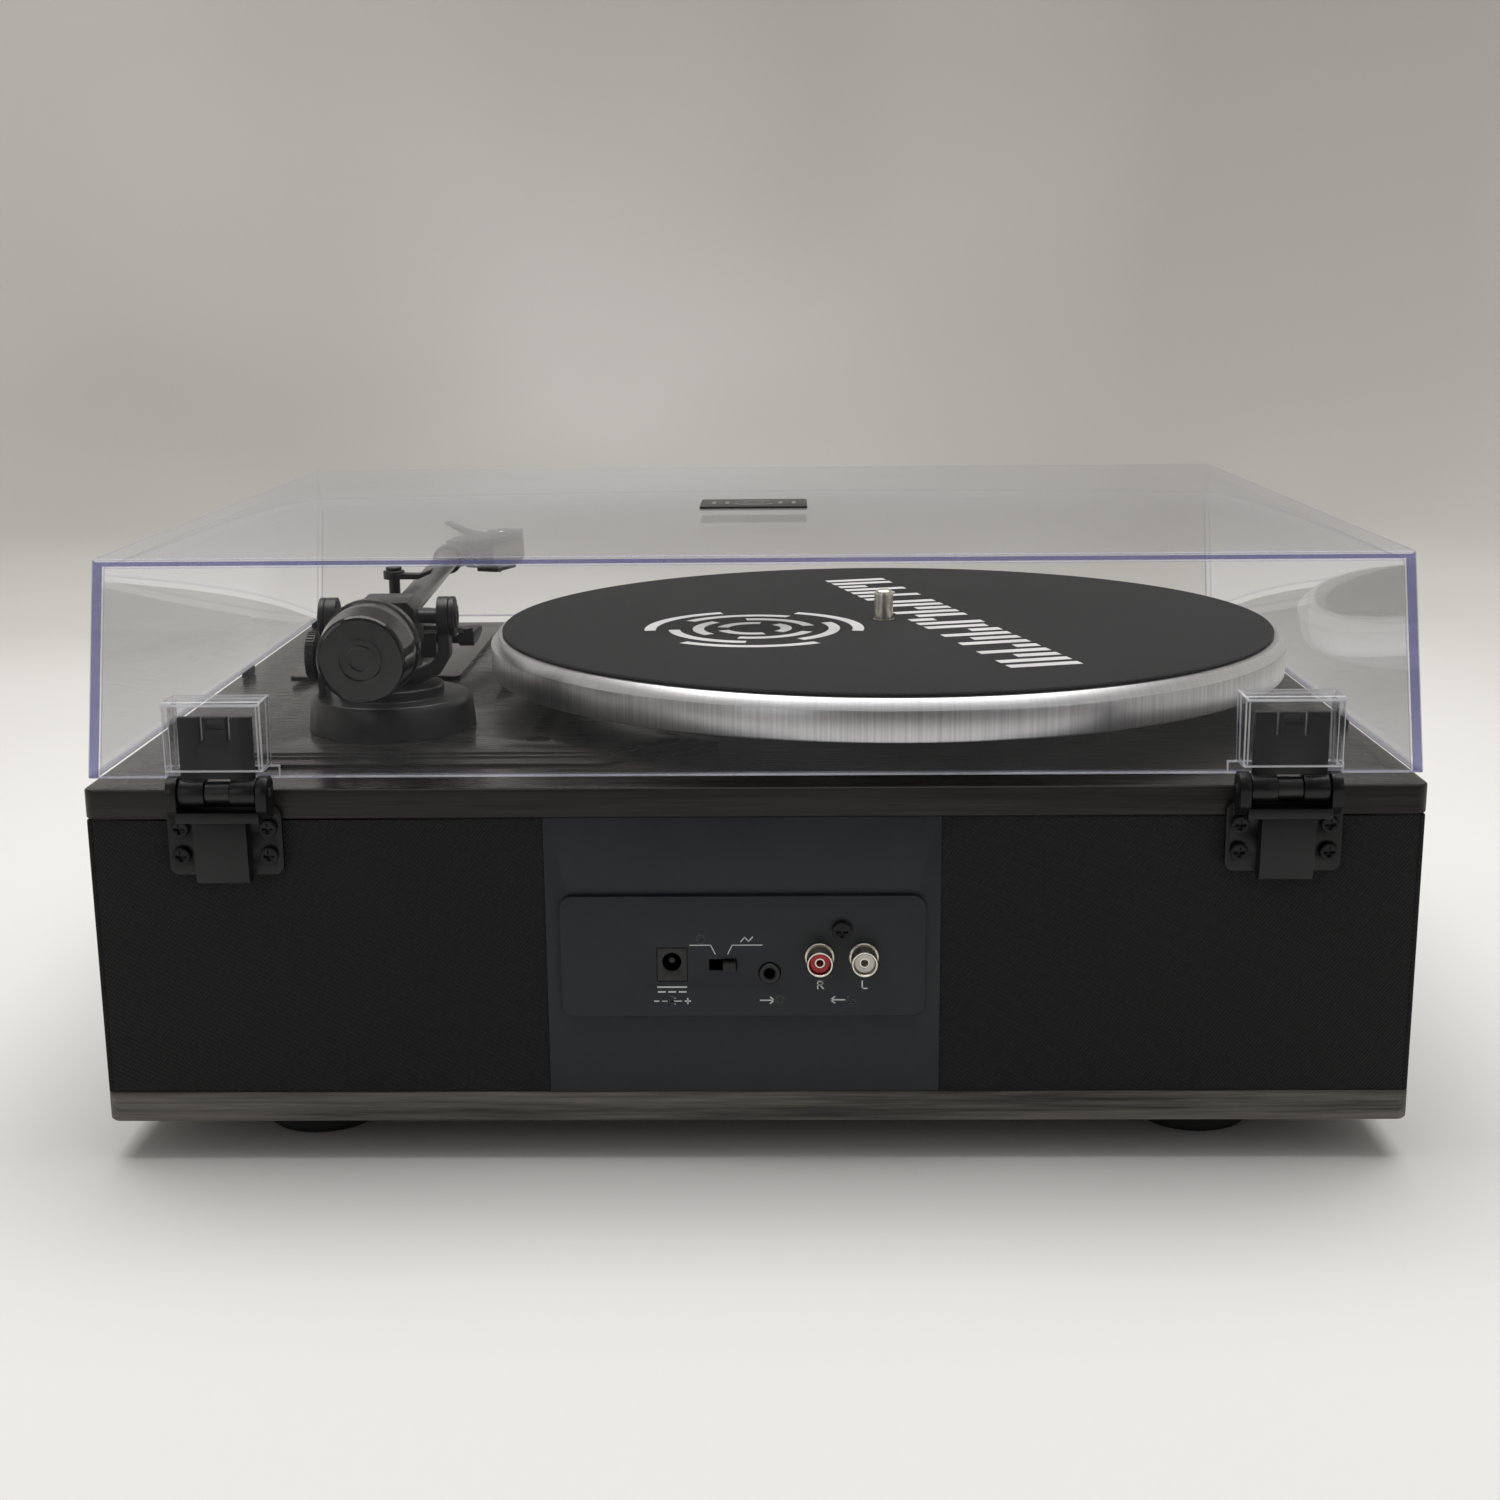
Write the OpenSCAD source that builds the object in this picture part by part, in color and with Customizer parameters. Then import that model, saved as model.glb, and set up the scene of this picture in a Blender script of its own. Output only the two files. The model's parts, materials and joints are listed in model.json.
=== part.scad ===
// Record player: a belt-driven platter, a pivoted tonearm and a hinged clear lid on a cloth-covered body.
// +Z is up, +Y points to the sockets at the back, and +X points to the tonearm's side.

/* [Body] */
// Width of the body
body_w = 420; // [400:1:450]
// Depth of the body
body_d = 324; // [316:1:350]
// Height of the deck's surface above the table
deck_z = 124; // [110:1:140]
// Height of the feet
foot_h = 13; // [8:1:18]
// Radius of a foot
foot_r = 20; // [14:1:24]
// Thickness of the bottom board
bottom_t = 10; // [8:0.5:14]
// Thickness of the top board
top_t = 9.6; // [8:0.1:12]
// Radius of the boards' upright corners
board_r = 4; // [1:0.5:8]
// Thickness of the wall boards
wall_t = 8; // [6:0.5:12]
// Thickness of the cloth skin
cloth_t = 1.5; // [1:0.1:2]

/* [Sockets] */
// Width of the smooth centre panel at the back
panel_w = 125; // [120:1:140]
// Width of the socket plate
plate_w = 115.6; // [112:0.1:118]
// Height of the socket plate
plate_h = 39.7; // [36:0.1:50]
// Height of the socket plate's middle
plate_z = 69.1; // [60:0.1:76]
// How far the socket plate stands out
plate_t = 2; // [1:0.1:3]
// Outer radius of a phono socket
rca_r = 4.15; // [4.1:0.01:4.2]
// Radius of the round line socket's hole
aux_r = 1.8; // [1.75:0.01:1.85]

/* [Platter] */
// Radius of the platter
platter_r = 150; // [145:0.5:152]
// Height of the platter's top above the deck
platter_top = 25.4; // [22:0.1:28]
// Height of the platter's rim
rim_h = 13.9; // [10:0.1:16]
// Radius of the mat
mat_r = 145.6; // [140:0.1:146]
// Thickness of the mat
mat_t = 1.5; // [1:0.1:3]
// Radius of the record spindle
spindle_r = 3.58; // [3.55:0.01:3.6]
// Height of the spindle's tip above the deck
spindle_top = 38.6; // [36:0.1:42]
// Radius of the drive ring under the platter
drive_r = 84; // [70:1:90]
// Radius of the motor pulley
pulley_r = 7; // [5:0.5:8]

/* [Lid] */
// Half width of the lid at its rim
lid_half = 208; // [200:0.5:209]
// Height of the lid
lid_h = 68.3; // [65:0.1:80]
// Gap between the lid's rim and the deck
lid_gap = 3.4; // [3:0.1:5]
// Inward lean of each lid wall
lid_draft = 5; // [3:0.5:8]
// Thickness of the lid's walls
lid_t = 2.8; // [2:0.1:4]

/* [Hinges] */
// Distance of each hinge from the middle
hinge_x = 165; // [140:1:180]
// Radius of the bracket's ears
ear_r = 5.3; // [5:0.1:5.3]
// Radius of the hinge pin
pin_r = 1.5; // [1.2:0.1:1.6]

/* [Tonearm] */
// Place of the arm's pivot across the deck
pivot_x = 127.5; // [125:0.5:130]
// Place of the arm's pivot along the deck
pivot_y = 72.6; // [70:0.1:75]
// Turn of the parked arm
arm_yaw = 2; // [2:0.1:2.2]
// Rise of the tube towards the head
arm_rise = 0.85; // [0.8:0.01:0.9]
// Height of the tube's axis above the deck, at the pivot
tube_z = 37.2; // [37:0.1:38]
// Height of the tilting bearing's axis above the deck
tilt_z = 40.8; // [40:0.1:42]
// Radius of the tube
tube_r = 4.6; // [4:0.1:4.6]
// Distance from the pivot to the head
head_s = 165; // [160:1:170]
// Inward turn of the head
head_turn = 22; // [18:1:24]
// Radius of the counterweight
weight_r = 15.5; // [13:0.1:16]

/* [Controls] */
// Radius of the volume knob
volume_r = 13; // [8:0.5:15]
// Radius of the speed selector
speed_r = 9; // [6:0.5:11]

/* [Hidden] */
$fn = 72;
hinge_reach = 10;
run = 0.05;                                    // radial clearance of a running fit
back_y = (body_d + hinge_reach) / 2 - hinge_reach;
front_y = back_y - body_d;
mid_y = (back_y + front_y) / 2;
floor_z = foot_h + bottom_t;
ceil_z = deck_z - top_t;
wall_h = ceil_z - floor_z;
inset = 0.8;                                   // the cloth stands this far inside the boards' edges
skin_x = body_w / 2 - inset;
skin_y = front_y + inset;
rear_skin = 2.3;
rear_y = back_y - 0.7;                         // outer face of the cloth at the back
board_y = rear_y - rear_skin;                  // outer face of the rear board
panel_x = 3.2;
panel_y = back_y - 0.5;
plate_y = panel_y + plate_t;
spin_x = -48.4;
spin_y = -2.7;
motor_reach = 115;
motor_dir = 233;
motor_x = spin_x + motor_reach * cos(motor_dir);
motor_y = spin_y + motor_reach * sin(motor_dir);
volume_at = [150, -105];
speed_at = [150, -68];
rim_z = deck_z + lid_gap;
lid_back = back_y - 1.6;
lid_front = front_y + 2.4;
axis_y = back_y + 4.7;
axis_z = deck_z + 0.3;
plinth_t = 2.4;                                // thickness of the armboard
rest_at = [137, 10];
cue_r = 34;
cue_at = [pivot_x + cue_r * sin(arm_yaw), pivot_y - cue_r * cos(arm_yaw)];
lever_z = 27.5;

// A block with rounded upright corners, centred on its place, standing on its own floor
module rbox(w, d, h, r) {
    translate([-w / 2, -d / 2 + r, 0]) cube([w, d - 2 * r, h]);
    translate([-w / 2 + r, -d / 2, 0]) cube([w - 2 * r, d, h]);
    for (x = [-1, 1], y = [-1, 1])
        translate([x * (w / 2 - r), y * (d / 2 - r), 0]) cylinder(r = r, h = h);
}

// An upright plate with rounded corners, standing from y0 to y0 + t
module plate(x, z, w, h, y0, t, r) {
    translate([x, y0 + t, z]) rotate([90, 0, 0]) rbox(w, h, t, r);
}

// A rod from x0 to x1 along X
module xrod(x0, x1, y, z, r) {
    translate([x0, y, z]) rotate([0, 90, 0]) cylinder(r = r, h = x1 - x0);
}

// A rod from y0 to y1 along Y
module yrod(x, z, r, y0, y1) {
    translate([x, y0, z]) rotate([-90, 0, 0]) cylinder(r = r, h = y1 - y0);
}

// A profile in YZ, run from x0 to x1
module yz_run(x0, x1, points) {
    translate([x0, 0, 0]) rotate([90, 0, 90]) linear_extrude(x1 - x0) polygon(points);
}

// A profile in XZ, run from y0 to y1
module xz_run(y0, y1, points) {
    translate([0, y1, 0]) rotate([90, 0, 0]) linear_extrude(y1 - y0) polygon(points);
}

// The deck's surface at a place, and the frames of the parked arm, its tube and its head
module on_deck(p) { translate([p[0], p[1], deck_z]) children(); }
module at_pivot() { on_deck([pivot_x, pivot_y]) children(); }
module at_arm() { at_pivot() rotate([0, 0, arm_yaw]) children(); }
module along_arm(s) {
    at_arm() translate([0, 0, tube_z]) rotate([-arm_rise, 0, 0]) translate([0, -s, 0])
        rotate([90, 0, 0]) children();
}
module at_head() { at_arm() translate([0, -head_s, 0]) rotate([0, 0, -head_turn]) children(); }
module at_hinge(side) { translate([side * hinge_x, 0, 0]) children(); }

module board(z, t) { translate([0, mid_y, z]) rbox(body_w, body_d, t, board_r); }

module top_board() {
    color("#2d2a28") difference() {
        board(ceil_z, top_t);
        on_deck([spin_x, spin_y]) translate([0, 0, -20]) cylinder(r = 9.1, h = 40);
        on_deck([motor_x, motor_y]) translate([0, 0, -20]) cylinder(r = 6, h = 40);
        at_pivot() translate([0, 0, -20]) cylinder(r = 12.2, h = 40);
        for (p = [volume_at, speed_at]) on_deck(p) translate([0, 0, -20]) cylinder(r = 5, h = 40);
    }
}

module bottom_board() { color("#3a3633") board(foot_h, bottom_t); }

module front_board() {
    color("#6b5a48") translate([-skin_x + cloth_t, skin_y + cloth_t, floor_z])
        cube([2 * (skin_x - cloth_t), wall_t, wall_h]);
}

module side_board(side) {
    color("#6b5a48") translate([side * (skin_x - cloth_t - wall_t / 2) - wall_t / 2,
        skin_y + cloth_t + wall_t, floor_z])
        cube([wall_t, board_y - wall_t - skin_y - cloth_t - wall_t, wall_h]);
}

module left_board() { side_board(-1); }
module right_board() { side_board(1); }

module rear_board() {
    color("#6b5a48") difference() {
        translate([-skin_x + cloth_t, board_y - wall_t, floor_z])
            cube([2 * (skin_x - cloth_t), wall_t, wall_h]);
        plate(panel_x, plate_z, 106, 32, board_y - wall_t - 1, wall_t + 2, 2);
        hinge_screw_holes();
    }
}

// Cloth round the front and both sides
module wall_cloth() {
    color("#1a1a1c") translate([0, 0, floor_z]) difference() {
        translate([-skin_x, skin_y, 0]) cube([2 * skin_x, rear_y - skin_y, wall_h]);
        translate([-skin_x + cloth_t, skin_y + cloth_t, -1])
            cube([2 * (skin_x - cloth_t), body_d, wall_h + 2]);
    }
}

module rear_cloth(x0, x1) {
    color("#1a1a1c") difference() {
        translate([x0, board_y, floor_z]) cube([x1 - x0, rear_skin, wall_h]);
        hinge_screw_holes();
    }
}

module rear_cloth_left() { rear_cloth(-skin_x + cloth_t, panel_x - panel_w / 2); }
module rear_cloth_right() { rear_cloth(panel_x + panel_w / 2, skin_x - cloth_t); }

module rear_panel() {
    color("#262a2e") difference() {
        translate([panel_x - panel_w / 2, board_y, floor_z])
            cube([panel_w, panel_y - board_y, wall_h]);
        plate(panel_x, plate_z, 106, 32, board_y - 1, 6, 2);
    }
}

// Places on the socket plate, as [x, z]
dc_at = [25.7, 66.6];
dc_hole = [25.8, 67.5];
aux_at = [-5.2, 63.8];
red_at = [-21, 69.1];
white_at = [-35, 69.1];
screw_at = [-28.1, 77.9];
switch_x = 5.4;
switch_w = 8.5;
switch_z = 66.5;
switch_h = 3.6;

module jack_plate() {
    color("#262a2e") difference() {
        plate(panel_x + 0.1, plate_z, plate_w, plate_h, panel_y, plate_t, 4);
        plate(dc_at[0], dc_at[1], 9.6, 11.2, panel_y - 1, plate_t + 2, 0.5);
        translate([switch_x, panel_y - 1, switch_z - switch_h / 2])
            cube([switch_w, plate_t + 2, switch_h]);
        yrod(aux_at[0], aux_at[1], 3.4, panel_y - 1, plate_y + 1);
        for (p = [red_at, white_at]) yrod(p[0], p[1], rca_r + 0.1, panel_y - 1, plate_y + 1);
        yrod(screw_at[0], screw_at[1], 1.7, panel_y - 1, plate_y + 1);
    }
}

module dc_jack() {
    color("#141416") {
        difference() {
            plate(dc_at[0], dc_at[1], 9.4, 11, plate_y - 18, 17.7, 0.4);
            yrod(dc_hole[0], dc_hole[1], 3, plate_y - 12, plate_y + 1);
        }
        yrod(dc_hole[0], dc_hole[1], 1, plate_y - 12.5, plate_y - 2);
    }
}

module aux_jack() {
    color("#141416") difference() {
        union() {
            plate(aux_at[0], aux_at[1], 9, 9, plate_y - 20, 16, 0.5);
            yrod(aux_at[0], aux_at[1], 3.3, plate_y - 5, plate_y + 0.7);
        }
        yrod(aux_at[0], aux_at[1], aux_r, plate_y - 15, plate_y + 1);
    }
}

module phono_socket(p) {
    difference() {
        union() {
            yrod(p[0], p[1], rca_r, plate_y - 8, plate_y + 8);
            yrod(p[0], p[1], 4.65, plate_y, plate_y + 1);
        }
        difference() {
            yrod(p[0], p[1], 3.5, plate_y + 1.5, plate_y + 9);
            yrod(p[0], p[1], 2.9, plate_y + 1, plate_y + 7);
        }
        yrod(p[0], p[1], 1.6, plate_y - 4, plate_y + 9);
    }
}

module rca_red() { color("#b03040") phono_socket(red_at); }
module rca_white() { color("#d8d6d0") phono_socket(white_at); }

module cross_screw(x, z, y, head_r, shank_r, length) {
    difference() {
        union() {
            yrod(x, z, head_r, y, y + 1.7);
            yrod(x, z, shank_r, y - length, y);
        }
        for (a = [0, 90]) translate([x, y + 2, z]) rotate([0, a, 0])
            cube([head_r * 1.2, 2.4, 0.8], center = true);
    }
}

module plate_screw() {
    color("#1c1c1e") cross_screw(screw_at[0], screw_at[1], plate_y, 3.15, 1.6, 2);
}

module mode_switch() {
    color("#101012") {
        translate([switch_x + 0.1, plate_y - 6, switch_z - 1.5]) cube([4, 8, 3]);
    }
}

module feet() {
    color("#151515") for (x = [-148, 148], y = [front_y + 39, back_y - 39])
        translate([x, y, 0]) rotate_extrude()
            polygon([[0, 0], [foot_r - 2, 0], [foot_r, 2], [foot_r, foot_h], [0, foot_h]]);
}

// Outline of the armboard, drawn in from its outer edge by d
module armboard_outline(d) {
    difference() {
        polygon([[184.5 - d, -136 + d], [184.5 - d, 127.2 - d], [50 + d * 0.3, 127.2 - d],
            [12 + d * 0.8, 103.5 - d], [12 + d * 0.8, -136 + d]]);
        translate([spin_x, spin_y]) circle(r = 112 + d);
    }
}

module armboard() {
    color("#26231f") difference() {
        union() {
            translate([0, 0, deck_z]) linear_extrude(1) armboard_outline(0);
            translate([0, 0, deck_z + 1]) linear_extrude(0.7) armboard_outline(8);
            translate([0, 0, deck_z + 1.7]) linear_extrude(plinth_t - 1.7) armboard_outline(11);
        }
        at_pivot() translate([0, 0, -1]) cylinder(r = 12.2, h = 5);
        for (p = [volume_at, speed_at]) on_deck(p) translate([0, 0, -1]) cylinder(r = 5, h = 5);
        on_deck([73.4, 96.8]) translate([0, 0, 1.4]) cylinder(r = 4.2, h = 3);
    }
}

module control_plate() {
    color("#0c0c0d") on_deck([150.5, -66]) translate([0, 0, plinth_t]) difference() {
        rbox(67, 114, 2, 3);
        for (p = [volume_at, speed_at]) translate([p[0] - 150.5, p[1] + 66, -1])
            cylinder(r = 3 + run, h = 4);
    }
}

module knob(p, r, top) {
    on_deck(p) difference() {
        union() {
            translate([0, 0, -9]) cylinder(r = 3, h = 16);
            translate([0, 0, plinth_t + 2.3]) rotate_extrude()
                polygon([[0, 0], [r, 0], [r, 1.5], [r - 0.8, 2.3], [r - 1.2, top - 1], [r - 2.2, top],
                    [0, top]]);
        }
        translate([-0.5, r * 0.35, plinth_t + 1.8 + top]) cube([1, r, 2]);
    }
}

module volume_knob() { color("#131314") knob(volume_at, volume_r, 10.3); }
module speed_selector() { color("#131314") knob(speed_at, speed_r, 9.3); }

module main_bearing() {
    color("#8c7a4a") on_deck([spin_x, spin_y]) difference() {
        union() {
            translate([0, 0, -28]) cylinder(r = 9, h = 30);
            cylinder(r = 14, h = 3);
        }
        translate([0, 0, -26]) cylinder(r = 4 + run, h = 40);
    }
}

module motor() {
    color("#8d8f92") on_deck([motor_x, motor_y]) {
        translate([0, 0, -46]) cylinder(r = 18, h = 36);
        translate([0, 0, -11]) cylinder(r = 5, h = 8);
        translate([0, 0, -4]) cylinder(r = 1.6, h = 19);
    }
}

module motor_pulley() {
    color("#b59a55") on_deck([motor_x, motor_y]) difference() {
        rotate_extrude() polygon([[0, 4.5], [pulley_r + 2, 4.5], [pulley_r + 2, 6], [pulley_r, 7],
            [pulley_r, 15], [pulley_r + 2, 16], [pulley_r + 2, 17.5], [0, 17.5]]);
        translate([0, 0, 4]) cylinder(r = 1.6 + run, h = 11.5);
    }
}

// Outline of a loop round the drive ring and the pulley, a distance d outside them
module belt_loop(d) {
    lean = asin((drive_r - pulley_r) / motor_reach);
    big = drive_r + d;
    small = pulley_r + d;
    circle(r = big);
    translate([motor_reach, 0]) circle(r = small);
    polygon([[big * sin(lean), big * cos(lean)],
        [motor_reach + small * sin(lean), small * cos(lean)],
        [motor_reach + small * sin(lean), -small * cos(lean)],
        [big * sin(lean), -big * cos(lean)]]);
}

module drive_belt() {
    color("#1d1d1d") on_deck([spin_x, spin_y]) rotate([0, 0, motor_dir]) translate([0, 0, 8.5])
        linear_extrude(5) difference() {
            belt_loop(1.1);
            belt_loop(0.3);
        }
}

module circuit_board() {
    color("#2e5a3a") translate([panel_x, 100, floor_z]) {
        translate([-55, -35, 9]) cube([110, 70, 1.6]);
        for (x = [-48, 48], y = [-28, 28]) translate([x, y, 0]) cylinder(r = 3, h = 9);
        for (x = [-30, 0, 26]) translate([x, -10, 10.6]) cylinder(r = 6, h = 14);
        translate([-45, 8, 10.6]) cube([30, 12, 18]);
    }
}

module speakers() {
    color("#222224") for (x = [-125, 125])
        translate([x, skin_y + cloth_t + wall_t, (floor_z + ceil_z) / 2]) rotate([-90, 0, 0]) {
            cylinder(r = 38, h = 4);
            translate([0, 0, 4]) cylinder(r1 = 34, r2 = 22, h = 12);
            translate([0, 0, 16]) cylinder(r = 24, h = 12);
        }
}

module platter() {
    low = platter_top - rim_h;
    color("#c4c6c8") on_deck([spin_x, spin_y]) rotate_extrude($fn = 180)
        polygon([[4, 5], [12, 5], [12, 19], [platter_r - 12, 19], [platter_r - 12, low],
            [platter_r - 0.6, low], [platter_r, low + 0.6], [platter_r, platter_top - 3.65],
            [platter_r - 3, platter_top], [4, platter_top]]);
}

module slip_mat() {
    color("#1e1e20") on_deck([spin_x, spin_y]) translate([0, 0, platter_top]) difference() {
        cylinder(r = mat_r, h = mat_t);
        translate([0, 0, -1]) cylinder(r = 4.2, h = mat_t + 2);
    }
}

module spindle() {
    seat = platter_top + mat_t + 0.1;
    color("#c9cacb") on_deck([spin_x, spin_y]) {
        translate([0, 0, -25.5]) cylinder(r = 4, h = seat + 25.5);
        translate([0, 0, seat]) cylinder(r = spindle_r, h = spindle_top - seat - 1.8);
        translate([0, 0, spindle_top - 1.8]) rotate_extrude()
            polygon([[0, 0], [spindle_r, 0], [spindle_r - 0.4, 0.9], [spindle_r - 1.4, 1.6], [0, 1.8]]);
    }
}

module drive_ring() {
    color("#9fa1a3") on_deck([spin_x, spin_y]) translate([0, 0, 5]) difference() {
        cylinder(r = drive_r, h = 14);
        translate([0, 0, -1]) cylinder(r = drive_r - 4, h = 16);
    }
}

module arm_base() {
    color("#121213") at_pivot() difference() {
        union() {
            translate([0, 0, -9]) cylinder(r = 12, h = 14);
            rotate_extrude() polygon([[0, plinth_t], [29, plinth_t], [28.1, 11.6], [26.8, 13.7],
                [18.3, 13.7], [18.3, 17], [17.8, 17.5], [0, 17.5]]);
            translate([22.4, -5, 12]) cube([2.4, 10, 15.2]);
            xrod(22.4, 24.8, 0, 27.2, 5);
        }
        translate([0, 0, 6.5]) cylinder(r = 6 + run, h = 20);
        xrod(22, 25, 0, 27.2, 1.5 + run);
    }
}

module anti_skate_dial() {
    color("#121213") at_pivot() difference() {
        union() {
            xrod(22.6, 26, 0, 27.2, 1.5);
            xrod(25.1, 28.3, 0, 27.2, 8.5);
        }
        translate([27.6, -0.4, 29]) cube([2, 0.8, 6]);
    }
}

yoke_out = 21.3;
yoke_in = 17.3;

module arm_yoke() {
    color("#121213") at_arm() difference() {
        union() {
            translate([0, 0, 7]) cylinder(r = 6, h = 12);
            difference() {
                xz_run(-4, 4, [[-yoke_out, tilt_z], [-yoke_out, 27], [-17.5, 21], [-11, 18], [11, 18],
                    [17.5, 21], [yoke_out, 27], [yoke_out, tilt_z]]);
                xz_run(-5, 5, [[-yoke_in, tilt_z + 1], [-yoke_in, 29], [-14.4, 24.5], [-9.5, 22],
                    [9.5, 22], [14.4, 24.5], [yoke_in, 29], [yoke_in, tilt_z + 1]]);
            }
            for (s = [-1, 1]) xrod(s * (yoke_in + yoke_out) / 2 - 2, s * (yoke_in + yoke_out) / 2 + 2,
                0, tilt_z, 7);
        }
        xrod(-25, 25, 0, tilt_z, 2.35 + run);
    }
}

module yoke_caps() {
    color("#0e0e0f") at_arm() for (s = [-1, 1])
        xrod(s * (yoke_out + 1.05) - 1.05, s * (yoke_out + 1.05) + 1.05, 0, tilt_z, 7);
}

module arm_housing() {
    color("#121213") difference() {
        at_arm() union() {
            xz_run(-11, 11, [[-10.5, 31], [10.5, 31], [10.5, 45], [8, 47.5], [-8, 47.5], [-10.5, 45]]);
            xrod(-21, 21, 0, tilt_z, 2.35);
        }
        along_arm(-14) cylinder(r = tube_r + 0.02, h = 28);
    }
}

module arm_tube() {
    color("#8f9193") {
        along_arm(-12) cylinder(r = tube_r, h = head_s + 8);
        along_arm(-48) cylinder(r = 4, h = 37);
    }
}

module counterweight() {
    color("#0b0b0c") along_arm(-59.5) difference() {
        rotate_extrude() polygon([[0, 0], [weight_r - 2, 0], [weight_r - 1, 0.8], [weight_r, 12],
            [weight_r, 19], [weight_r + 0.7, 19.4], [weight_r + 0.7, 23.6], [weight_r, 24], [0, 24]]);
        translate([0, 0, 6.5]) cylinder(r = 4 + run, h = 30);
        difference() {
            translate([0, 0, -1]) cylinder(r = 4.6, h = 1.5);
            translate([0, 0, -2]) cylinder(r = 3.4, h = 4);
        }
    }
}

module force_dial() {
    color("#131314") along_arm(-30) difference() {
        cylinder(r = 12.5, h = 5);
        translate([0, 0, -1]) cylinder(r = 4 + run, h = 7);
    }
}

module headshell() {
    color("#161617") {
        along_arm(head_s - 4) cylinder(r = 6.2, h = 6);
        at_head() {
            translate([0, -1, tube_z + 2.4]) rotate([90, 0, 0]) cylinder(r = 4.8, h = 11);
            translate([-5, -18, 41]) cube([10, 9, 3]);
            translate([0, 0, 42.5]) linear_extrude(3.5)
                polygon([[-6, -9], [6, -9], [9, -20], [9, -50], [6, -58], [-6, -58], [-9, -50], [-9, -20]]);
            xz_run(-47, -41, [[8, 43.4], [16, 45.2], [24.5, 49.2], [24.5, 50.4], [16, 46.8], [8, 45.4]]);
        }
    }
}

module cartridge() {
    color("#b8b2a8") at_head() {
        yz_run(-8, 8, [[-55, 42.4], [-55, 34], [-51, 31.6], [-30, 31.6], [-26, 34], [-26, 42.4]]);
    }
}

module stylus() {
    color("#35342f") at_head() {
        translate([-5, -52, 29.4]) cube([10, 18, 2.1]);
        translate([0, -46, 27.4]) cylinder(r1 = 0.2, r2 = 0.8, h = 2.2);
    }
}

module arm_rest() {
    color("#121213") on_deck(rest_at) {
        translate([0, 0, plinth_t]) cylinder(r = 5, h = 3);
        translate([0, 0, plinth_t]) cylinder(r = 2.1, h = 49 - plinth_t);
        translate([0, 0, 48.8]) cylinder(r = 3, h = 1.2);
        translate([-12.5, -3, 29]) cube([12, 6, 4.1]);
        translate([-2.5, -3, 24]) cube([5, 6, 6]);
    }
}

module arm_clip() {
    color("#121213") on_deck(rest_at) difference() {
        union() {
            translate([0, 0, 45.4]) cylinder(r = 4, h = 3.2);
            xz_run(-2.6, 2.6, [[-1, 45.4], [-9.5, 45.4], [-14.4, 47.6], [-14.9, 49.2], [-9.5, 47.4],
                [-1, 47.6]]);
        }
        translate([0, 0, 40]) cylinder(r = 2.1 + run, h = 20);
    }
}

module cue_column() {
    color("#121213") on_deck(cue_at) difference() {
        union() {
            translate([0, 0, plinth_t]) cylinder(r = 4.2, h = 29 - plinth_t);
            translate([-12, -4, 21]) cube([9, 8, 9.3]);
        }
        translate([0, 0, 10]) cylinder(r = 2, h = 30);
        xrod(-13, -4.6, 0, lever_z, 2 + run);
    }
}

module cue_lift() {
    color("#1a1a1b") {
        on_deck(cue_at) translate([0, 0, 12]) cylinder(r = 1.95, h = 20);
        at_pivot() rotate([0, 0, 225]) rotate_extrude(angle = 56)
            translate([cue_r - 2, 30.8]) square([4, 2]);
    }
}

module cue_lever() {
    color("#121213") on_deck(cue_at) {
        xrod(-24.5, -4.9, 0, lever_z, 2);
        yz_run(-25.7, -20.2, [[2.6, lever_z - 1.4], [1.4, lever_z + 2.7], [-10, lever_z + 2.4],
            [-19.4, lever_z + 1.6], [-20, lever_z - 0.6], [-10, lever_z - 2.4], [1.4, lever_z - 2.7]]);
    }
}

module hinge_bracket(side) {
    color("#161618") at_hinge(side) difference() {
        union() {
            plate(0, deck_z - 16, 36, 22, back_y, 2, 3);
            for (s = [-1, 1]) {
                xrod(s * 14 - 1.7, s * 14 + 1.7, axis_y, axis_z, ear_r);
                yz_run(s * 14 - 1.7, s * 14 + 1.7, [[back_y, deck_z - 8], [back_y + 6, deck_z - 8],
                    [axis_y + ear_r, deck_z - 4.5], [axis_y + ear_r, axis_z], [back_y, axis_z]]);
            }
            translate([-13, back_y + 5, deck_z - 8.5]) cube([26, 4.6, 3.4]);
            translate([-13, back_y, deck_z - 8.5]) cube([26, 6, 2.4]);
        }
        xrod(-17, 17, axis_y, axis_z, pin_r + 0.02);
        translate([-20, back_y - 10, deck_z - 40]) cube([40, 10, 50]);
        for (s = [-1, 1], z = [11.7, 20.5])
            yrod(s * 13.85, deck_z - z, 1.7, back_y - 1, back_y + 3);
    }
}

module hinge_bracket_left() { hinge_bracket(-1); }
module hinge_bracket_right() { hinge_bracket(1); }

module hinge_covers() {
    color("#161618") for (side = [-1, 1]) at_hinge(side)
        yz_run(-8.35, 8.35, [[back_y + 2, deck_z - 28.5], [back_y + 6.4, deck_z - 28.5],
            [back_y + 7.4, deck_z - 26], [back_y + 8.2, deck_z - 8.7], [back_y + 2, deck_z - 8.7]]);
}

module hinge_screw_holes() {
    for (side = [-1, 1], s = [-1, 1], z = [11.7, 20.5])
        yrod(side * hinge_x + s * 13.85, deck_z - z, 1.52, back_y - 12, back_y + 1);
}

module hinge_screws() {
    color("#0f0f10") for (side = [-1, 1], s = [-1, 1], z = [11.7, 20.5])
        cross_screw(side * hinge_x + s * 13.85, deck_z - z, back_y + 2, 2.75, 1.5, 11);
}

module hinge_pins() {
    color("#8a8c8e") for (side = [-1, 1]) at_hinge(side) xrod(-15.7, 15.7, axis_y, axis_z, pin_r);
}

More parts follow.
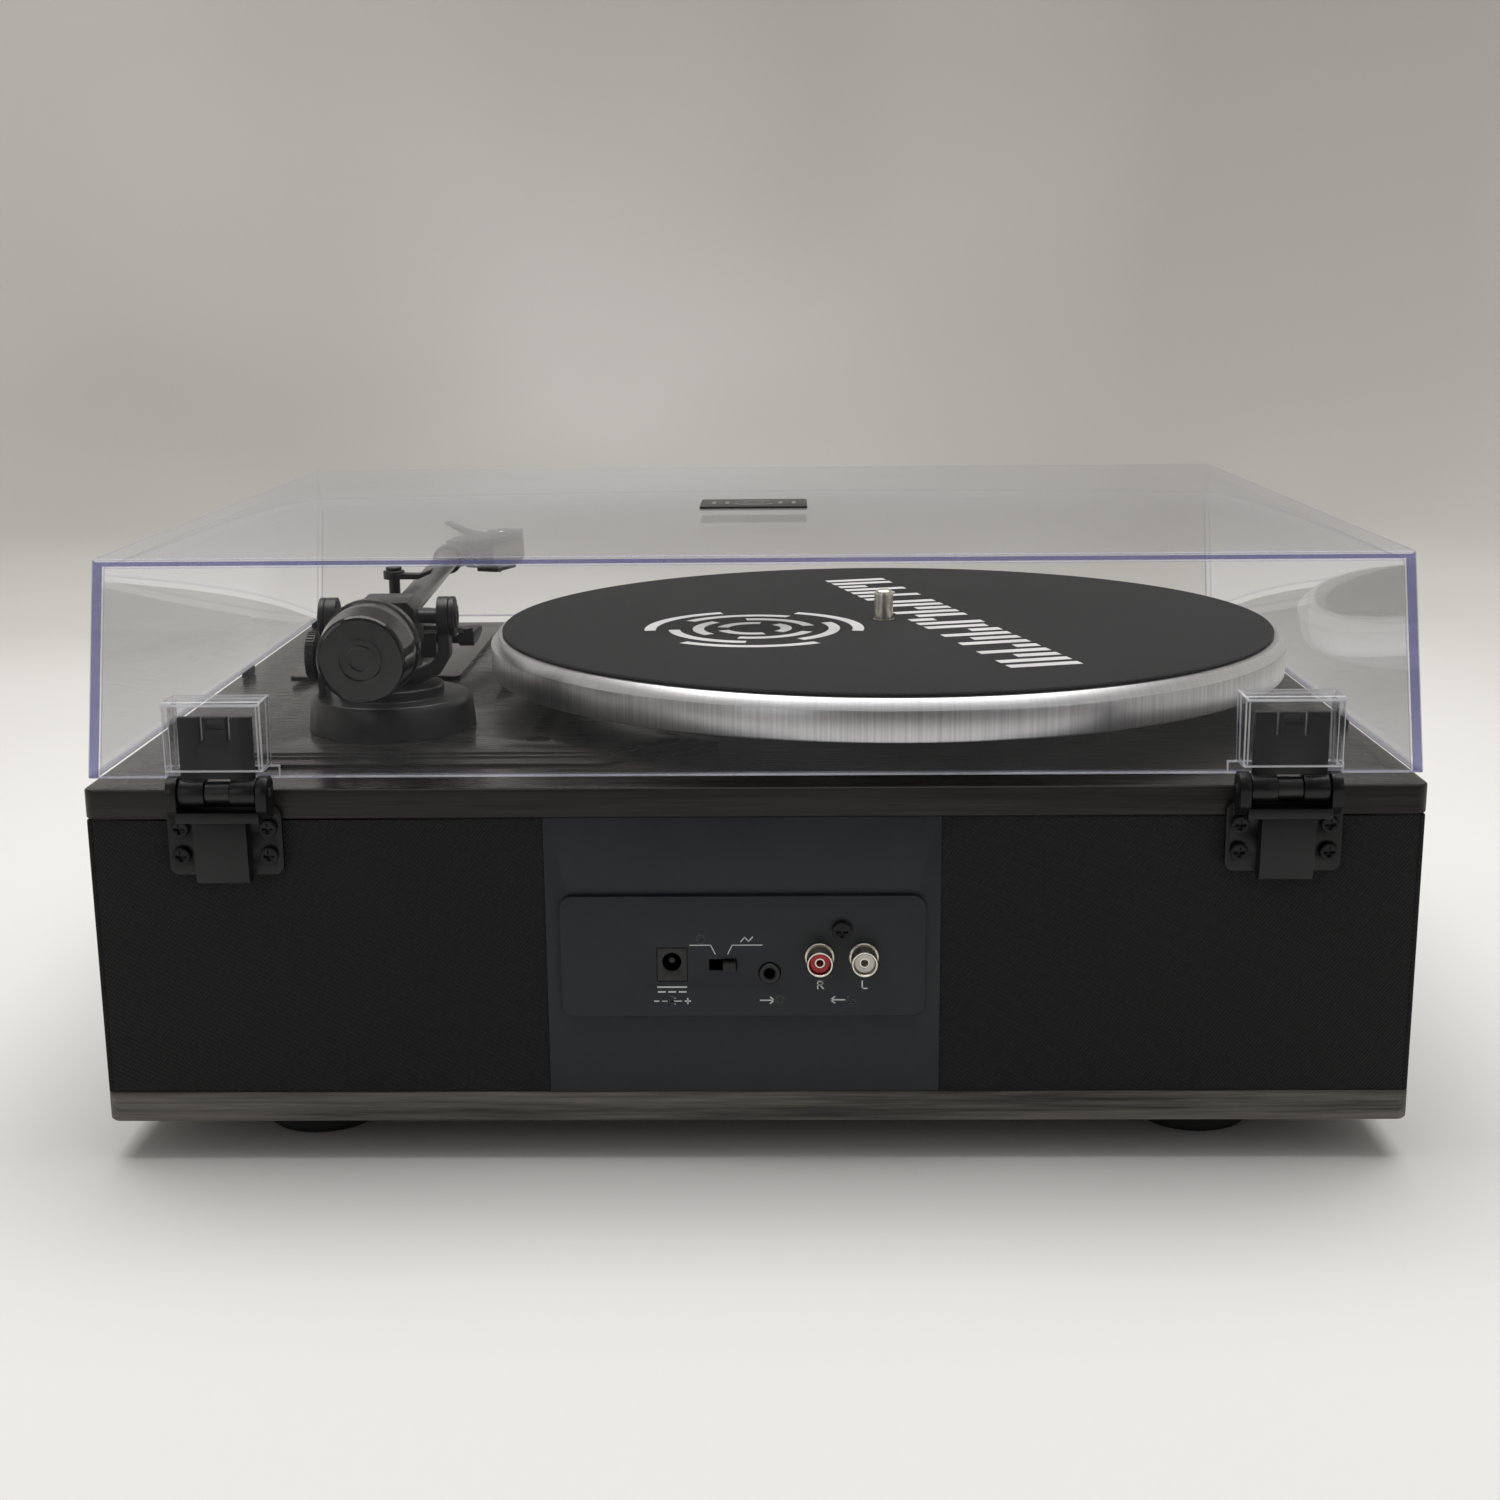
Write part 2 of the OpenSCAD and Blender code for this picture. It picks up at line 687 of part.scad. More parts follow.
module hinge_springs() {
    color("#1b1b1c") for (side = [-1, 1]) at_hinge(side) difference() {
        xrod(-3.7, 3.7, axis_y, axis_z, 3.6);
        xrod(-5, 5, axis_y, axis_z, pin_r + 0.02);
    }
}

module hinge_leaf(side) {
    color("#131315") at_hinge(side) difference() {
        union() {
            xrod(-11.9, 11.9, axis_y, axis_z, 4.5);
            translate([-11.35, axis_y - 1.5, axis_z]) cube([22.7, 3, 24]);
        }
        translate([-4, axis_y - 6, axis_z - 6]) cube([8, 12, 10.5]);
        translate([-2.6, axis_y + 0.5, axis_z + 20.2]) cube([5.2, 6, 3]);
        for (x = [-4.8, 3.8]) translate([x, axis_y - 6, axis_z + 16.8]) cube([1, 12, 12]);
        xrod(-13, 13, axis_y, axis_z, pin_r + run);
    }
}

module hinge_leaf_left() { hinge_leaf(-1); }
module hinge_leaf_right() { hinge_leaf(1); }

// The lid's block, drawn in by d on every side but the rim
module lid_block(d, drop) {
    low = rim_z - drop;
    high = rim_z + lid_h - d;
    lean = lid_draft / lid_h;
    function in_at(z) = d + lean * (z - rim_z);
    intersection() {
        xz_run(lid_front - 1, lid_back + 1, [[-lid_half + in_at(low), low], [lid_half - in_at(low), low],
            [lid_half - in_at(high), high], [-lid_half + in_at(high), high]]);
        yz_run(-lid_half - 1, lid_half + 1, [[lid_front + in_at(low), low], [lid_back - in_at(low), low],
            [lid_back - in_at(high), high], [lid_front + in_at(high), high]]);
    }
}

module dust_cover() {
    color([0.75, 0.78, 0.85, 0.3]) difference() {
        lid_block(0, 0);
        lid_block(lid_t, 1);
    }
}

function wall_at(z) = lid_back - lid_draft / lid_h * (z - rim_z);

module hinge_pockets() {
    low = deck_z + 7.7;
    high = deck_z + 29.7;
    out = axis_y + 4.4;
    t = 1.4;
    color([0.85, 0.87, 0.92, 0.4]) for (side = [-1, 1]) at_hinge(side) {
        difference() {
            yz_run(-15.2, 15.2, [[wall_at(low), low], [out, low], [out, high - 1], [out - 1, high],
                [wall_at(high), high]]);
            translate([-15.2 + t, back_y - 12, low - 1]) cube([30.4 - 2 * t, out - t - back_y + 12, high - t - low + 1]);
        }
        yz_run(-18, 18, [[wall_at(deck_z + 3.6), deck_z + 3.6], [back_y - 0.1, deck_z + 3.6],
            [back_y - 0.1, low], [wall_at(low), low]]);
    }
}

module lid_badge() {
    color("#1a1a1c") translate([1, 4, rim_z + lid_h]) rbox(40, 27, 0.9, 1);
}

module lid_bumpers() {
    color("#2a2a2c") for (x = [-1, 1], y = [lid_front + 1.5, -40, 60])
        translate([x * (lid_half - 1.5) - 1.2, y, deck_z + 0.2]) cube([2.4, 12, lid_gap - 0.2]);
}

top_board();
bottom_board();
front_board();
left_board();
right_board();
rear_board();
wall_cloth();
rear_cloth_left();
rear_cloth_right();
rear_panel();
jack_plate();
dc_jack();
aux_jack();
rca_red();
rca_white();
plate_screw();
mode_switch();
feet();
armboard();
control_plate();
volume_knob();
speed_selector();
main_bearing();
motor();
motor_pulley();
drive_belt();
circuit_board();
speakers();
platter();
slip_mat();
spindle();
drive_ring();
arm_base();
anti_skate_dial();
arm_yoke();
yoke_caps();
arm_housing();
arm_tube();
headshell();
cartridge();
stylus();
counterweight();
force_dial();
arm_rest();
arm_clip();
cue_column();
cue_lift();
cue_lever();
hinge_bracket_left();
hinge_bracket_right();
hinge_covers();
hinge_screws();
hinge_pins();
hinge_springs();
dust_cover();
hinge_pockets();
hinge_leaf_left();
hinge_leaf_right();
lid_badge();
lid_bumpers();
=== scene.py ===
import json
import math
import bmesh
import bpy
from mathutils import Matrix, Vector


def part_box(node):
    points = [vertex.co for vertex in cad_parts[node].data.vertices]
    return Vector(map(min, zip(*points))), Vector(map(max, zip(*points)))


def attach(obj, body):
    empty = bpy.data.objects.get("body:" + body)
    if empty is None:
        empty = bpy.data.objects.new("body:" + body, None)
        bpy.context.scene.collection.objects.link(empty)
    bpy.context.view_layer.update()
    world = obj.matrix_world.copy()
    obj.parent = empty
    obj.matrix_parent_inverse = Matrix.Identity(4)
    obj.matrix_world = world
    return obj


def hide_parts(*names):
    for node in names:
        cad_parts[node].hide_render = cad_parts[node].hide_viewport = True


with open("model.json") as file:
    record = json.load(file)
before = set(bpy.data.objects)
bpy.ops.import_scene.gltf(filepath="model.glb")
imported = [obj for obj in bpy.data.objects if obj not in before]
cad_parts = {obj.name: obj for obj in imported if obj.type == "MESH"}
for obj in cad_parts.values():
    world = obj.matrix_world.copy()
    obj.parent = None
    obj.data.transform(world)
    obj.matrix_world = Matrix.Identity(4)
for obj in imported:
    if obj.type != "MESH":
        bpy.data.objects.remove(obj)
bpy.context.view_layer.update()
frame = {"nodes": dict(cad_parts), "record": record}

MM = 0.001
RECORD = frame["record"]
JOINTS = {j["name"]: j for j in RECORD["behaviour"]["joints"]}
BODY = {n: b for b, names in RECORD["behaviour"]["bodies"].items() for n in names}
SLOT = {s["node"]: s["material_slot"] for s in RECORD["subparts"]}
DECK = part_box("top_board")[1][2]
SPINDLE = Vector(JOINTS["platter_spin"]["pos_m"])
PIVOT = Vector(JOINTS["arm_swing"]["pos_m"])
ARM_AXIS = Vector(JOINTS["weight_slide"]["axis"])
PLATE_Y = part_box("jack_plate")[1][1]
TUBE_RISE = 37.2 * MM
SHELL_RISE = 46 * MM
HEAD_TURN = math.radians(-20)
PRINT_LOW, PRINT_HIGH = 26.7, 27.02
ROUND_STEPS = 288
SMOOTH_ANGLE = 32.0
WELD = 1e-7

# ---------------------------------------------------------------- camera, stage and light

CAMERA_PLACE = Vector((-0.0110, 0.7690, 0.2758))
CAMERA_AIM = Vector((0.01820, -0.97471, -0.22274))
CAMERA_RIGHT = Vector((-0.99983, -0.01867, 0.0))
CAMERA_ROLL = math.radians(-0.52)
CAMERA_LENS = 48.67
CAMERA_SENSOR = 36


def add_camera():
    data = bpy.data.cameras.new("view")
    data.lens = CAMERA_LENS
    data.sensor_width = CAMERA_SENSOR
    up = CAMERA_RIGHT.cross(CAMERA_AIM)
    c, s = math.cos(CAMERA_ROLL), math.sin(CAMERA_ROLL)
    across, above = c * CAMERA_RIGHT + s * up, c * up - s * CAMERA_RIGHT
    turn = Matrix((across, above, -CAMERA_AIM)).transposed().to_4x4()
    camera = bpy.data.objects.new("view", data)
    camera.matrix_world = Matrix.Translation(CAMERA_PLACE) @ turn
    bpy.context.scene.collection.objects.link(camera)
    bpy.context.scene.camera = camera


def add_light(name, place, target, size, power, tint=(1, 1, 1)):
    data = bpy.data.lights.new(name, "AREA")
    data.shape = "RECTANGLE"
    data.size, data.size_y = size
    data.energy = power
    data.color = tint
    light = bpy.data.objects.new(name, data)
    light.location = place
    light.rotation_euler = (Vector(target) - Vector(place)).to_track_quat("-Z", "Y").to_euler()
    bpy.context.scene.collection.objects.link(light)


# ---------------------------------------------------------------- materials


def feed(tree, socket, value):
    if isinstance(value, bpy.types.NodeSocket):
        tree.links.new(value, socket)
    else:
        socket.default_value = value


class Finish:
    """One material and short ways to add nodes to it."""

    def __init__(self, name, **values):
        self.material = bpy.data.materials.new(name)
        self.material.use_nodes = True
        self.tree = self.material.node_tree
        self.shader = self.tree.nodes["Principled BSDF"]
        self.output = self.tree.nodes["Material Output"]
        self.place = self.add("TexCoord").outputs["Object"]
        self.set(**values)

    def set(self, **values):
        for key, value in values.items():
            if isinstance(value, tuple) and len(value) == 3:
                value = (*value, 1.0)
            feed(self.tree, self.shader.inputs[key.replace("_", " ").title().replace("Ior", "IOR")], value)

    def add(self, kind, settings=(), inputs=()):
        node = self.tree.nodes.new("ShaderNode" + kind)
        for key, value in dict(settings).items():
            setattr(node, key, value)
        for key, value in dict(inputs).items():
            feed(self.tree, node.inputs[key], value)
        return node

    def scaled(self, scale, shift=(0, 0, 0), turn=(0, 0, 0), source=None):
        values = {"Vector": source or self.place, "Location": shift, "Rotation": turn, "Scale": scale}
        return self.add("Mapping", (), values).outputs[0]

    def noise(self, vector, scale=1.0, detail=3.0, rough=0.5):
        values = {"Vector": vector, "Scale": scale, "Detail": detail, "Roughness": rough}
        return self.add("TexNoise", (), values).outputs[0]

    def cells(self, vector, scale=1.0):
        return self.add("TexVoronoi", (), {"Vector": vector, "Scale": scale}).outputs["Distance"]

    def math(self, operation, a, b=0.0, c=0.0):
        return self.add("Math", {"operation": operation}, {0: a, 1: b, 2: c}).outputs[0]

    def span(self, value, low, high, to_low=0.0, to_high=1.0):
        inputs = {0: value, 1: low, 2: high, 3: to_low, 4: to_high}
        return self.add("MapRange", {"clamp": True}, inputs).outputs[0]

    def blend(self, factor, a, b):
        a, b = [(*v, 1.0) if isinstance(v, tuple) and len(v) == 3 else v for v in (a, b)]
        return self.add("Mix", {"data_type": "RGBA"}, {0: factor, 6: a, 7: b}).outputs[2]

    def axes(self, source=None):
        return self.add("SeparateXYZ", (), {0: source or self.place}).outputs

    def bump(self, height, distance, strength=1.0):
        values = {"Height": height, "Distance": distance, "Strength": strength}
        self.set(normal=self.add("Bump", (), values).outputs[0])


def veneer(name, dark, light, rough):
    """Open-grained wood, with the grain along X, or along Y on the end faces."""
    f = Finish(name)
    normal = f.axes(f.add("NewGeometry").outputs["Normal"])
    side = f.math("GREATER_THAN", f.math("ABSOLUTE", normal[0]), 0.7)
    flat = f.math("GREATER_THAN", normal[2], 0.9)
    bands, pores = [], []
    for stretch, fine in (((5, 130, 130), (40, 1500, 1500)), ((130, 5, 130), (1500, 40, 1500))):
        bands.append(f.noise(f.scaled(stretch), 1.0, 6.0, 0.62))
        pores.append(f.noise(f.scaled(fine), 1.0, 2.0, 0.5))
    band = f.add("Mix", {"data_type": "FLOAT"}, {0: side, 2: bands[0], 3: bands[1]}).outputs[0]
    pore = f.add("Mix", {"data_type": "FLOAT"}, {0: side, 2: pores[0], 3: pores[1]}).outputs[0]
    mixed = f.math("ADD", f.math("MULTIPLY", band, 0.75), f.math("MULTIPLY", pore, 0.25))
    f.set(base_color=f.blend(f.span(mixed, 0.38, 0.62), dark, light))
    sheen = f.math("MULTIPLY", flat, -0.12)
    f.set(roughness=f.math("ADD", f.span(pore, 0.3, 0.7, rough + 0.1, rough - 0.05), sheen))
    f.set(specular_ior_level=f.math("MULTIPLY_ADD", flat, 0.4, 0.3))
    f.bump(mixed, 0.00025, 0.5)
    return f.material


def woven_cloth():
    """Speaker cloth: a fine diagonal twill with uneven threads and shade painted into the grooves of the weave.
    """
    f = Finish("speaker_cloth", roughness=0.95)
    x, y, z = f.axes()[:3]
    across = f.math("ADD", x, y)
    rib = f.math("SINE", f.math("MULTIPLY", f.math("ADD", across, f.math("MULTIPLY", z, 0.8)), 5200.0))
    pick = f.math("SINE", f.math("MULTIPLY", f.math("SUBTRACT", z, f.math("MULTIPLY", across, 0.5)), 4100.0))
    weave = f.math("ADD", f.math("MULTIPLY", rib, 0.32), f.math("MULTIPLY", pick, 0.18))
    fuzz = f.noise(f.scaled((900, 900, 900)), 1.0, 2.0, 0.6)
    cloud = f.noise(f.scaled((14, 14, 14)), 1.0, 3.0, 0.5)
    height = f.math("ADD", f.math("ADD", weave, 0.5), f.math("MULTIPLY", f.math("SUBTRACT", fuzz, 0.5), 0.7))
    # Painted shade: the cloth is darker where the weave is low, in the grooves between threads; the fuzz adds
    # uneven thread tone.
    shade = f.blend(f.span(height, 0.1, 1.0), (0.002, 0.002, 0.0023), (0.013, 0.013, 0.014))
    f.set(base_color=f.blend(f.span(cloud, 0.35, 0.7, 0.0, 0.25), shade, (0.013, 0.013, 0.014)))
    f.set(sheen_weight=0.04, sheen_roughness=0.5)
    f.bump(height, 0.0003, 0.8)
    return f.material


def moulded(name, color, rough, grain=1400.0, depth=0.00004, metallic=0.0, specular=0.5):
    """Moulded or coated surface: an even colour with a little mottle, fine grain and dust."""
    f = Finish(name, metallic=metallic, specular_ior_level=specular)
    grains = f.noise(f.scaled((grain, grain, grain)), 1.0, 2.0, 0.6)
    mottle = f.noise(f.scaled((60, 60, 60)), 1.0, 4.0, 0.6)
    pale = tuple(min(1.0, c * 1.35 + 0.006) for c in color)
    f.set(base_color=f.blend(f.span(mottle, 0.35, 0.75, 0.0, 0.6), color, pale))
    f.set(roughness=f.span(mottle, 0.3, 0.7, rough - 0.05, rough + 0.08))
    f.bump(grains, depth, 0.6)
    return f.material


def turned_metal(name, centre, color, rough, pitch=2600.0, painted_glints=0.1):
    """Metal turned on a lathe round an upright axis: fine rings on top, and upright glints round the rim painted
    into the colour as paler streaks.
    """
    f = Finish(name, metallic=1.0)
    local = f.scaled((1, 1, 1), (-centre[0], -centre[1], 0))
    x, y, z = f.axes(local)[:3]
    reach = f.math("SQRT", f.math("ADD", f.math("MULTIPLY", x, x), f.math("MULTIPLY", y, y)))
    angle = f.math("ARCTAN2", y, x)
    ring = f.add("CombineXYZ", (), {0: f.math("MULTIPLY", reach, pitch), 1: 0.0, 2: f.math("MULTIPLY", z, pitch)})
    rings = f.noise(ring.outputs[0], 1.0, 2.0, 0.5)
    # Painted highlight: paler streaks by angle round the axis stand for the upright glints on the turned rim.
    painted_glint_coords = f.add("CombineXYZ", (), {0: f.math("MULTIPLY", angle, 170.0), 1: 3.0, 2: f.math("MULTIPLY", z, 9.0)})
    painted_glint_noise = f.noise(painted_glint_coords.outputs[0], 1.0, 3.0, 0.55)
    pale = tuple(min(1.0, c * (1.0 + painted_glints)) for c in color)
    f.set(base_color=f.blend(f.span(painted_glint_noise, 0.35, 0.65), color, pale))
    f.set(roughness=f.span(rings, 0.3, 0.7, rough - 0.01, rough + 0.02))
    f.bump(rings, 0.00003, 0.3)
    return f.material


def felt():
    """Pressed felt: dark fibres with pale lint."""
    f = Finish("felt", roughness=1.0, sheen_weight=0.05, sheen_roughness=0.6)
    fibre = f.noise(f.scaled((2200, 2200, 2200)), 1.0, 3.0, 0.7)
    cloud = f.noise(f.scaled((45, 45, 45)), 1.0, 4.0, 0.6)
    lint = f.cells(f.scaled((260, 180, 260), turn=(0, 0, 0.6)))
    speck = f.math("MULTIPLY", f.math("LESS_THAN", lint, 0.07), f.math("GREATER_THAN", cloud, 0.5))
    dark = f.blend(f.span(fibre, 0.3, 0.75), (0.003, 0.003, 0.0035), (0.016, 0.016, 0.017))
    f.set(base_color=f.blend(f.math("MULTIPLY", speck, 0.5), dark, (0.16, 0.16, 0.16)))
    f.bump(f.math("ADD", fibre, f.math("MULTIPLY", cloud, 0.6)), 0.0005, 0.8)
    return f.material


def clear_pane(name, tint, ior=1.49, rough=0.015, haze=0.03, milk_tint=(0.7, 0.72, 0.78)):
    """Thin clear acrylic: lets the view through and mirrors more the more it is seen from the side."""
    f = Finish(name)
    f.tree.nodes.remove(f.shader)
    open_ = f.add("BsdfTransparent", (), {0: (*tint, 1.0)})
    smear = f.noise(f.scaled((22, 22, 22)), 1.0, 5.0, 0.6)
    gloss = f.add("BsdfGlossy", (), {"Color": (0.95, 0.96, 1.0, 1.0),
                                     "Roughness": f.span(smear, 0.3, 0.8, rough, rough + 0.04)})
    milk = f.add("BsdfDiffuse", (), {0: (*milk_tint, 1.0)})
    slant = f.add("LayerWeight", (), {"Blend": 0.5}).outputs["Facing"]
    base = ((ior - 1) / (ior + 1)) ** 2
    glint = f.math("MULTIPLY_ADD", f.math("POWER", slant, 5.0), 1.0 - base, base)
    body = f.add("MixShader", (), {0: f.span(smear, 0.3, 0.8, haze * 0.4, haze), 1: open_.outputs[0],
                                   2: milk.outputs[0]})
    whole = f.add("MixShader", (), {0: glint, 1: body.outputs[0], 2: gloss.outputs[0]})
    f.tree.links.new(whole.outputs[0], f.output.inputs["Surface"])
    return f.material


def studio_floor():
    """Pale table that turns to a warm grey wall with painted soft shadow patches, and to a dark colour painted on
    the sockets' side as shade for a dim room.
    """
    f = Finish("studio_floor", roughness=0.7, specular_ior_level=0.15)
    x, y = f.axes()[:2]
    reach = f.math("SQRT", f.math("ADD", f.math("MULTIPLY", x, x), f.math("MULTIPLY", y, y)))
    grain = f.noise(f.scaled((5, 5, 5)), 1.0, 4.0, 0.5)
    cloud = f.noise(f.scaled((0.9, 0.9, 0.9)), 1.0, 2.0, 0.4)
    far = f.span(f.math("ADD", reach, f.math("MULTIPLY", grain, 0.05)), 0.45, 1.1)
    # Painted shadow: soft darker patches on the wall from the cloud noise.
    wall = f.blend(f.span(cloud, 0.35, 0.65), (0.57, 0.555, 0.53), (0.73, 0.72, 0.70))
    # Painted shade: the backdrop on the sockets' side is painted dark for a dim room.
    room = f.blend(f.span(y, 0.9, 1.6), wall, (0.15, 0.147, 0.143))
    f.set(base_color=f.blend(far, (0.82, 0.815, 0.81), room))
    return f.material


# ---------------------------------------------------------------- meshes


def settle(bm, edge_angle=SMOOTH_ANGLE):
    """Smooth shading with sharp edges past the angle."""
    limit = math.radians(edge_angle)
    for face in bm.faces:
        face.smooth = True
    for edge in bm.edges:
        edge.smooth = edge.is_manifold and edge.calc_face_angle(0.0) < limit


def to_piece(name, bm, materials, body, slot, *nodes, edge_angle=SMOOTH_ANGLE):
    """Makes a finished piece of the mesh, with its material and body. The slot is not used."""
    settle(bm, edge_angle)
    mesh = bpy.data.meshes.new(name)
    bm.to_mesh(mesh)
    bm.free()
    piece = bpy.data.objects.new(name, mesh)
    bpy.context.scene.collection.objects.link(piece)
    for material in materials if isinstance(materials, (list, tuple)) else [materials]:
        mesh.materials.append(material)
    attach(piece, body)
    if nodes:
        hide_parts(*nodes)
    return piece


def node_bmesh(node):
    """A welded copy of a CAD node's mesh with its flat faces joined."""
    bm = bmesh.new()
    bm.from_mesh(frame["nodes"][node].data)
    for face in bm.faces:
        face.material_index = 0
    bmesh.ops.remove_doubles(bm, verts=bm.verts, dist=1e-6)
    bmesh.ops.dissolve_limit(bm, angle_limit=math.radians(0.8), verts=bm.verts, edges=bm.edges)
    return bm


def soften(bm, width, segments=2, angle=35.0, material=-1):
    """Rounds the sharp edges."""
    limit = math.radians(angle)
    sharp = [e for e in bm.edges if e.is_manifold and e.calc_face_angle(0.0) > limit]
    bmesh.ops.bevel(bm, geom=sharp, offset=width, segments=segments, profile=0.6, affect="EDGES",
                    material=material, clamp_overlap=False)


def refine(node, material, width=0.35 * MM, segments=2):
    """Replaces a CAD node by the same shape with rounded edges."""
    bm = node_bmesh(node)
    soften(bm, width, segments)
    return to_piece(node + "_shell", bm, material, BODY[node], SLOT[node], node)


def dress(node, material):
    """Gives a CAD node its material."""
    data = frame["nodes"][node].data
    data.materials.clear()
    data.materials.append(material)


def lathe(bm, profile, frame_matrix, steps=96):
    """Turns a closed or pole-to-pole profile of (radius, height) round the frame's Z axis."""
    rings = []
    for r, h in profile:
        count = 1 if r < 1e-9 else steps
        rings.append([bm.verts.new(frame_matrix @ Vector((r * math.cos(2 * math.pi * k / steps),
                                                         r * math.sin(2 * math.pi * k / steps), h)))
                      for k in range(count)])
    for a, b in zip(rings, rings[1:]):
        for k in range(steps):
            loop = [a[k % len(a)], a[(k + 1) % len(a)], b[(k + 1) % len(b)], b[k % len(b)]]
            bm.faces.new(list(dict.fromkeys(loop)))


def in_metres(profile):
    return [(r * MM, h * MM) for r, h in profile]


def closed_lathe(name, profile, matrix, materials, body, slot, *nodes, steps=96, ring=False,
                 edge_angle=SMOOTH_ANGLE):
    """A turned piece from a profile in millimetres, which closes on itself where ring is set."""
    bm = bmesh.new()
    lathe(bm, in_metres(profile + profile[:1] if ring else profile), matrix, steps)
    if ring:
        bmesh.ops.remove_doubles(bm, verts=bm.verts, dist=WELD)
    bmesh.ops.recalc_face_normals(bm, faces=bm.faces)
    return to_piece(name, bm, materials, body, slot, *nodes, edge_angle=edge_angle)


def box_mesh(bm, low, high, matrix=Matrix()):
    """A box between two corners, moved by the matrix."""
    corners = [matrix @ Vector((x, y, z)) for x in (low[0], high[0]) for y in (low[1], high[1])
               for z in (low[2], high[2])]
    verts = [bm.verts.new(c) for c in corners]
    for loop in ((0, 1, 3, 2), (4, 6, 7, 5), (0, 4, 5, 1), (2, 3, 7, 6), (0, 2, 6, 4), (1, 5, 7, 3)):
        bm.faces.new([verts[i] for i in loop])


def tube_mesh(bm, points, radius, sides=10):
    """A round wire along points."""
    rings = []
    for i, p in enumerate(points):
        along = (points[min(i + 1, len(points) - 1)] - points[max(i - 1, 0)]).normalized()
        side = along.cross(Vector((0.31, 0.11, 0.95))).normalized()
        other = along.cross(side)
        rings.append([bm.verts.new(p + radius * (math.cos(a) * side + math.sin(a) * other))
                      for a in (2 * math.pi * k / sides for k in range(sides))])
    for a, b in zip(rings, rings[1:]):
        for k in range(sides):
            bm.faces.new([a[k], a[(k + 1) % sides], b[(k + 1) % sides], b[k]])
    bm.faces.new(list(reversed(rings[0])))
    bm.faces.new(rings[-1])


def axis_frame(place, axis):
    """A frame at place whose Z runs along axis."""
    return Matrix.Translation(place) @ Vector(axis).to_track_quat("Z", "Y").to_matrix().to_4x4()


def rib_ring(name, matrix, material, body, slot, count, radius, length, width, rise):
    """Small upright ribs round a drum, made by a node tree."""
    tree = bpy.data.node_groups.new("rib_ring", "GeometryNodeTree")
    face = tree.interface
    sockets = {}
    for label, kind in (("Count", "Int"), ("Radius", "Float"), ("Length", "Float"), ("Width", "Float"),
                        ("Rise", "Float")):
        sockets[label] = face.new_socket(label, in_out="INPUT", socket_type="NodeSocket" + kind)
    face.new_socket("Geometry", in_out="OUTPUT", socket_type="NodeSocketGeometry")
    nodes, link = tree.nodes, tree.links.new
    given = nodes.new("NodeGroupInput")
    result = nodes.new("NodeGroupOutput")
    ring = nodes.new("GeometryNodeMeshCircle")
    link(given.outputs["Count"], ring.inputs["Vertices"])
    link(given.outputs["Radius"], ring.inputs["Radius"])
    size = nodes.new("ShaderNodeCombineXYZ")
    for i, label in enumerate(("Rise", "Width", "Length")):
        link(given.outputs[label], size.inputs[i])
    bar = nodes.new("GeometryNodeMeshCube")
    link(size.outputs[0], bar.inputs["Size"])
    spot = nodes.new("GeometryNodeInputPosition")
    turn = nodes.new("FunctionNodeAlignEulerToVector")
    turn.axis = "X"
    link(spot.outputs[0], turn.inputs["Vector"])
    put = nodes.new("GeometryNodeInstanceOnPoints")
    link(ring.outputs[0], put.inputs["Points"])
    link(bar.outputs[0], put.inputs["Instance"])
    link(turn.outputs[0], put.inputs["Rotation"])
    real = nodes.new("GeometryNodeRealizeInstances")
    link(put.outputs[0], real.inputs[0])
    paint = nodes.new("GeometryNodeSetMaterial")
    paint.inputs["Material"].default_value = material
    link(real.outputs[0], paint.inputs["Geometry"])
    link(paint.outputs[0], result.inputs[0])

    seed = bpy.data.objects.new(name + "_seed", bpy.data.meshes.new(name + "_seed"))
    bpy.context.scene.collection.objects.link(seed)
    modifier = seed.modifiers.new("ribs", "NODES")
    modifier.node_group = tree
    values = {"Count": count, "Radius": radius, "Length": length, "Width": width, "Rise": rise}
    for label, value in values.items():
        modifier[sockets[label].identifier] = value
    bpy.context.view_layer.update()
    shown = seed.evaluated_get(bpy.context.evaluated_depsgraph_get())
    mesh = bpy.data.meshes.new_from_object(shown)
    bpy.data.objects.remove(seed)
    bm = bmesh.new()
    bm.from_mesh(mesh)
    bpy.data.meshes.remove(mesh)
    bmesh.ops.transform(bm, matrix=matrix, verts=bm.verts)
    return to_piece(name, bm, material, body, slot)


# ---------------------------------------------------------------- finishes

DARK_VENEER = veneer("dark_veneer", (0.0022, 0.002, 0.0019), (0.024, 0.0215, 0.019), 0.34)
PALE_VENEER = veneer("base_veneer", (0.030, 0.028, 0.026), (0.175, 0.165, 0.150), 0.55)
RAW_BOARD = moulded("fibreboard", (0.30, 0.21, 0.13), 0.9, 700.0, 0.0001)
CLOTH = woven_cloth()
PANEL = moulded("panel_plastic", (0.0125, 0.0150, 0.0190), 0.42, 2400.0, 0.00003, specular=0.35)
SOCKET = moulded("socket_plastic", (0.006, 0.006, 0.0065), 0.38)
SATIN = moulded("satin_plastic", (0.0085, 0.0085, 0.009), 0.36)
HINGE = moulded("hinge_plastic", (0.004, 0.004, 0.005), 0.33, 1800.0, 0.00003, specular=0.35)
GLOSS = moulded("gloss_black", (0.004, 0.004, 0.0045), 0.12, 900.0, 0.000006)
WEIGHT = moulded("weight_coat", (0.003, 0.003, 0.0035), 0.1, 900.0, 0.000003, specular=0.6)
RUBBER = moulded("rubber", (0.010, 0.010, 0.010), 0.75)
SCREW = moulded("black_screw", (0.016, 0.016, 0.017), 0.28, metallic=0.8)
STEEL = moulded("plain_steel", (0.42, 0.42, 0.43), 0.3, metallic=1.0)
